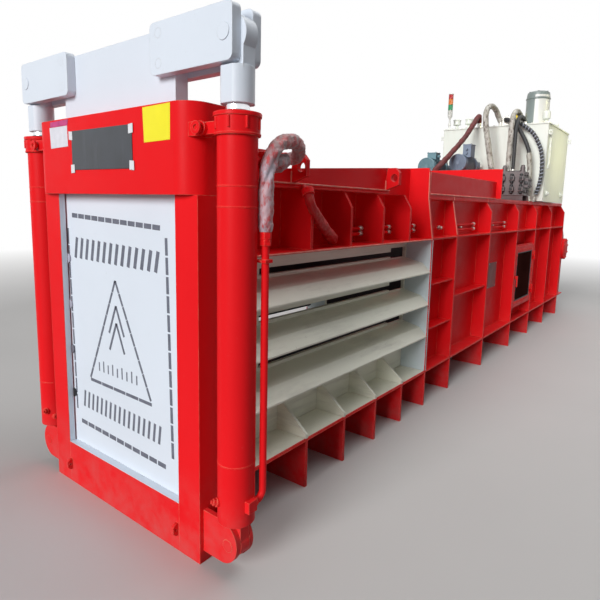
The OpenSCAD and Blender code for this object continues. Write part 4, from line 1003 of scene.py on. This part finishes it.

# Pumps: gear pumps hung from open cast bells, in which the couplings can be seen,
# with plated unions, suction pipes in rubber cuffs and a steadying foot.
pump_wall = [(0, 0), (70, 0), (70, 14), (58, 16), (58, 44), (64, 46), (64, 62), (58, 64), (58, 112),
             (64, 114), (64, 132), (52, 146), (52, 160), (0, 160)]
pipe_end = tank[0] + 1
bells = Shape()
plumbing = Shape()
cuffs = Shape()
for x, y, z in drives:
    bell, pump = x + motor_len, x + motor_len + 120
    bells.spin((bell, y, z), [(92, 0), (108, 0), (108, 14), (92, 14)], aft, 64)
    bells.spin((bell, y, z), [(46, 104), (76, 104), (76, 122), (46, 122)], aft, 48)
    bells.spin((pump, y, z), pump_wall, aft, 48)
    for c, d in turns(4, 45):
        v = Vector((0, -d, c)) * 26
        rib = ((10, 104), (108, 74), (108, 62), (10, 92))
        rib = [Vector((bell + dx, y + r * c, z + r * d)) for dx, r in rib]
        bells.solid([p + v for p in rib], [p - v for p in rib])
        bolt_y, bolt_z = y + 60 * c, z + 60 * d
        bells.rod((pump + 10, bolt_y, bolt_z), (pump + 138, bolt_y, bolt_z), 8, 16)
        bells.rod((pump + 138, bolt_y, bolt_z), (pump + 146, bolt_y, bolt_z), 12, 6)
    for c, d in turns(8, 22.5):
        screw(bells, (bell + 14, y + 100 * c, z + 100 * d), 6, 7, aft)
    bells.rod((pump + 80, y, cover_z), (pump + 80, y, z - 50), 18)
    bells.box(pump + 40, pump + 120, y - 44, y + 44, cover_z, cover_z + 12)
    plumbing.rod((pump + 88, y, z + 54), (pump + 88, y, z + 84), 24, 6)
    plumbing.rod((pump + 88, y, z + 84), (pump + 88, y, z + 104), 18)
    plumbing.rod((pump + 158, y, z), (pipe_end, y, z), 28, 32)
    plumbing.spin((pipe_end, y, z), [(0, 0), (54, 0), (54, 12), (28, 13), (0, 13)], (-1, 0, 0), 32)
    if pipe_end - pump > 300:
        cuffs.spin((pump + 200, y, z), [(28, 0), (38, 2), (38, 118), (28, 120)], aft, 32)
        for dx in (214, 306):
            plumbing.spin((pump + dx, y, z), [(37, -6), (40, -6), (40, 6), (37, 6)], aft, 32)
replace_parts(bells.put("pump_bells", blue_grey, "grey_paint", bevel=0.8), "pumps")
plumbing.put("pump_unions", zinc, "block_steel", bevel=1)
cuffs.put("suction_cuffs", rubber_black, "hose_rubber")

# Valve block: a machined steel block on a welded stool, with solenoid valves on its front
# and side, screwed plugs, cartridges on top and unions for the hoses.
block_x0, block_x1, block_y0, block_y1, block_low, block_top = 5100, 5330, -585, -255, 1800, 2070
outward = (0, -1, 0)
block_steel = painted("block_steel", (0.13, 0.11, 0.11), 0.38, fade=0.15, fade_scale=6, peel=0.0003,
                      specks=0.2, dust_and_glint_tint=(0.34, 0.20, 0.19), metal=0.4, shine=0.4)
block = Shape()
block.box(block_x0 + 24, block_x1, block_y0 + 30, block_y1, block_low, block_top)
block.box(block_x0 + 10, block_x1, block_y0 + 10, block_y1, block_low - 14, block_low)
for x in (block_x0 + 20, block_x1 - 14):
    block.box(x, x + 12, block_y0 + 30, block_y1 - 10, cover_z, block_low - 14)
for y in (block_y0 + 60, block_y1 - 60):
    block.spin((block_x0 + 60, y, block_top), [(0, 0), (34, 0), (34, 10), (28, 12), (28, 54), (22, 58),
                                               (22, 74), (12, 80), (0, 80)], sides=32)
for y in (-480, -420, -360):
    for x, dy, tall, r in ((block_x0 + 150, 0, 22, 20), (block_x0 + 60, 8, 14, 12)):
        block.rod((x, y + dy, block_top), (x, y + dy, block_top + tall), r, 6)
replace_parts(block.put("valve_block_body", block_steel, "block_steel", bevel=2), "valve_block")
coil_wall = [(8, 0), (19, 1), (19, 24), (13, 26), (13, 31), (0, 32)]
button_wall = [(8, 0), (22, 1), (22, 8), (18, 9), (0, 9.5)]
coils = Shape()
bodies = Shape()
for y in (-528, -420, -312):
    for z in (1864, 1990):
        bodies.box(block_x0 - 16, block_x0 + 25, y - 30, y + 30, z - 26, z + 26)
        coils.box(block_x0 - 30, block_x0 - 15, y - 15, y + 15, z - 14, z + 18)
        for s in both:
            coils.spin((block_x0 + 4, y, z + s * 26), coil_wall, (0, 0, s), 24)
for x in (block_x0 + 78, block_x0 + 172):
    bodies.box(x - 34, x + 34, block_y0 - 14, block_y0 + 31, 1880, 1990)
    bodies.rod((x, block_y0 + 30, 1836), (x, block_y0 + 12, 1836), 20, 6)
    bodies.rod((x, block_y0 + 30, 2034), (x, block_y0 + 16, 2034), 16, 6)
    for s in both:
        coils.spin((x + s * 34, block_y0 + 8, 1935), button_wall, (s, 0, 0), 24)
        for z in (1900, 1970):
            screw(bodies, (x + s * 18, block_y0 - 14, z), 7, 6, outward)
bodies.put("valve_bodies", block_steel, "block_steel", bevel=2)
coils.put("valve_coils", rubber_black, "hose_rubber", bevel=1.5)

# Oil hoses: two pale hoses and a dark one rise from the valves, turn over in the air and come
# down on the tank lid; two fall from the lid to the cover and one slants down to the front.
pale_cloth = Finish("pale_sleeve", (0.62, 0.60, 0.56), 0.5)
soft = pale_cloth.spread(pale_cloth.mottle(9, 4.0), 0.35, 0.65)
grey = pale_cloth.mix(soft, (0.36, 0.34, 0.29), (0.56, 0.55, 0.50))
spotted(pale_cloth, grey, (0.14, 0.11, 0.09), 30, 0.50, 0.62, 0.6)
dark_red = painted("wrapped_red", (0.13, 0.022, 0.022), 0.5, fade=0.3, fade_scale=9, specks=0.3, shine=0.25,
                   dust_and_glint_tint=(0.40, 0.22, 0.18))
coil_grey = painted("coil_grey", (0.34, 0.37, 0.44), 0.4, fade=0.4, fade_scale=9, specks=0.5,
                    dust_and_glint_tint=(0.08, 0.07, 0.08))
pale = Shape()
for seed, radius, run in (
        (11, 34, [(5280, -190, 1800), (5274, -150, 1960), (5270, -109, 2156), (5270, -43, 2479),
                  (5270, -10, 2652), (5278, 4, 2790), (5336, 0, 2885), (5450, -8, 2920), (5566, -24, 2890),
                  (5634, -44, 2810), (5642, -78, 2740)]),
        (13, 31, [(5270, -318, 2110), (5270, -321, 2400), (5273, -326, 2690), (5332, -328, 2790),
                  (5450, -330, 2828), (5568, -330, 2806), (5636, -330, 2768), (5640, -330, 2740)])):
    line = flow(run)
    pale.tube(line, wrinkled(line, radius, seed, 0.13), 28)
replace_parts(pale.put("pale_hoses", pale_cloth.material, "hose_rubber"), "oil_hoses")
dark = Shape()
loop = flow([(5270, -378, 2110), (5270, -378, 2474), (5282, -376, 2610), (5340, -374, 2710),
             (5440, -373, 2760), (5550, -373, 2768), (5622, -373, 2756), (5640, -373, 2735)])
dark.tube(loop, lambda i, t: 22 + 0.6 * sin(i * 1.7), 24)
guarded = flow([(5600, -216, 2752), (5560, -236, 2746), (5525, -280, 2728), (5520, -330, 2700),
                (5520, -417, 2650), (5520, -511, 2569), (5520, -594, 2429), (5520, -641, 2280),
                (5520, -652, 2084), (5520, -636, 1932), (5520, -603, 1811)], 5)
dark.tube(guarded, 22, 24)
falling = flow([(5600, -150, 2756), (5530, -170, 2756), (5470, -225, 2738), (5450, -290, 2690),
                (5450, -349, 2630), (5450, -430, 2505), (5450, -485, 2383), (5450, -505, 2307),
                (5450, -530, 2050), (5450, -540, 1790)], 5)
dark.tube(falling, lambda i, t: 24 + 0.6 * sin(i * 1.7), 24)
coil = []
for i in range(1, len(guarded) - 1):
    across = (guarded[i + 1] - guarded[i - 1]).normalized().cross(Vector(aft))
    coil.append(guarded[i] + Vector((24, 0, 0)) * cos(i * 0.75) + across * 24 * sin(i * 0.75))
guard_coil = Shape()
guard_coil.tube(coil, 5.5, 8)
guard_coil.put("guard_coil", coil_grey, "hose_rubber", smooth=60)
dark.put("dark_hoses", rubber_black, "hose_rubber")
strip = Shape()
wrap = [p for p in falling if p.z < 2320]
strip.tube(wrap, wrinkled(wrap, 29, 17, 0.12), 24)
strip.put("pale_wrap", pale_cloth.material, "sleeve")
slant = Shape()
line = flow([(5640, 205, 2750), (5628, 205, 2808), (5560, 205, 2812), (5124, 203, 2502), (4479, 207, 2143),
             (4310, 207, 2060), (4268, 206, 2000), (4262, 205, 1790)])
slant.tube(line, wrinkled(line, 31, 21, 0.22), 28)
slant.put("wrapped_hose", dark_red, "hose_rubber")

# Hose ends: each hose is held by a plated hexagon with a crimped ferrule; the two that fall
# from the lid start at a small manifold, which is screwed to it.
ends = Shape()
for x, y, z, r, away in (
        (5642, -78, lid_z, 30, up), (5640, -330, lid_z, 30, up), (5640, 205, lid_z, 30, up),
        (5640, -373, lid_z, 25, up), (4262, 205, cover_z, 30, up), (5450, -540, cover_z, 27, up),
        (5520, -572, cover_z, 27, (0, -0.42, 0.91)), (5280, -200, 1740, 30, (0, 0.1, 1)),
        (5270, -318, block_top - 2, 30, up), (5270, -378, block_top - 2, 25, up)):
    seat, away = Vector((x, y, z)), Vector(away)
    ends.rod(seat, seat + away * 26, r, 6)
    ends.rod(seat + away * 26, seat + away * 66, r * 0.84)
ends.box(5604, 5700, -250, -105, lid_z, lid_z + 110)
for y in (-216, -150):
    ends.rod((5604, y, lid_z + 58), (5588, y, lid_z + 58), 30, 6)
    ends.rod((5652, y, lid_z + 110), (5652, y, lid_z + 128), 18, 6)
for y in (-241, -160, -78):
    ends.rod((5668, y, lid_z), (5668, y, lid_z + 16), 24, 6)
ends.put("hose_ends", zinc, "block_steel", bevel=1)

# Access door: a dark pane clamped in the door's steel border, with a rubber gasket, screws
# all round, and hinge pins with round heads.
pane_dark = painted("pane_dark", (0.045, 0.012, 0.010), 0.45, fade=0.3, fade_scale=3, specks=0.15, shine=0.0,
                    dust_and_glint_tint=(0.20, 0.12, 0.10))
dress(pane_dark, "door_pane")
x0, x1, pane_y, _, z0, z1 = span("door_pane")
door_face, latch_z = -604, 820
gasket = Shape()
for a, b, low, high in ((x0 - 1, x1 + 1, z0 - 1, z0 + 9), (x0 - 1, x1 + 1, z1 - 9, z1 + 1),
                        (x0 - 1, x0 + 9, z0, z1), (x1 - 9, x1 + 1, z0, z1)):
    gasket.box(a, b, pane_y - 7, pane_y + 1, low, high)
gasket.put("pane_gasket", rubber_black, "pane", "door", bevel=2)
door_screws = Shape()
for x in row(x0 + 20, x1 - 20, 8):
    for z in (z0 - 26, z1 + 26):
        screw(door_screws, (x, door_face, z), 8, 6, outward)
for z in row(z0 + 30, z1 - 30, 6):
    for x in (x0 - 26, x1 + 26):
        if abs(z - latch_z) > 60 or x > x1:
            screw(door_screws, (x, door_face, z), 8, 6, outward)
door_screws.put("door_screws", body="door", bevel=0.6)
heads = Shape()
for z in (650, 1086):
    heads.spin((5664, -620, z), [(0, 0), (13, 0), (14, 3), (12, 9), (6, 12), (0, 13)], sides=24)
heads.put("hinge_heads")

# Trunnion caps and bare plates: the round caps are screwed over the trunnion ends; a small
# bare plate is riveted to the wall of the second bay behind the hopper's front, its dark red a painted
# reflection.
cap_x, cap_z, bolt_ring = 7561, 1020, 140
bare_x0, bare_x1, bare_z0, bare_z1 = 4284, 4557, 745, 1028
bare_plate_reflection = painted("bare_plate", (0.20, 0.10, 0.10), 0.35, fade=0.2, fade_scale=8, specks=0.3, peel=0.0002,
                    shine=0.2)
caps = Shape()
bare = Shape()
rivets = Shape()
for _ in mirrored():
    caps.spin((cap_x, 632, cap_z), [(0, 0), (118, 0), (118, 8), (112, 10), (0, 10)], (0, 1, 0), 64)
    for c, d in turns(8, 22.5):
        screw(caps, (cap_x + bolt_ring * c, 634, cap_z + bolt_ring * d), 13, 10, (0, 1, 0))
    bare.box(bare_x0, bare_x1, wall_y - 1, wall_y + 2, bare_z0, bare_z1)
    for x in (bare_x0 + 12, bare_x1 - 12):
        for z in (bare_z0 + 12, bare_z1 - 12):
            rivets.spin((x, wall_y + 2, z), [(6, 0), (5, 2), (0, 3)], (0, 1, 0), 16)
caps.put("trunnion_screws", bevel=1)
bare.put("bare_plates", bare_plate_reflection, "black_plate", bevel=0.6)
rivets.put("plate_rivets", zinc, "pin_steel")
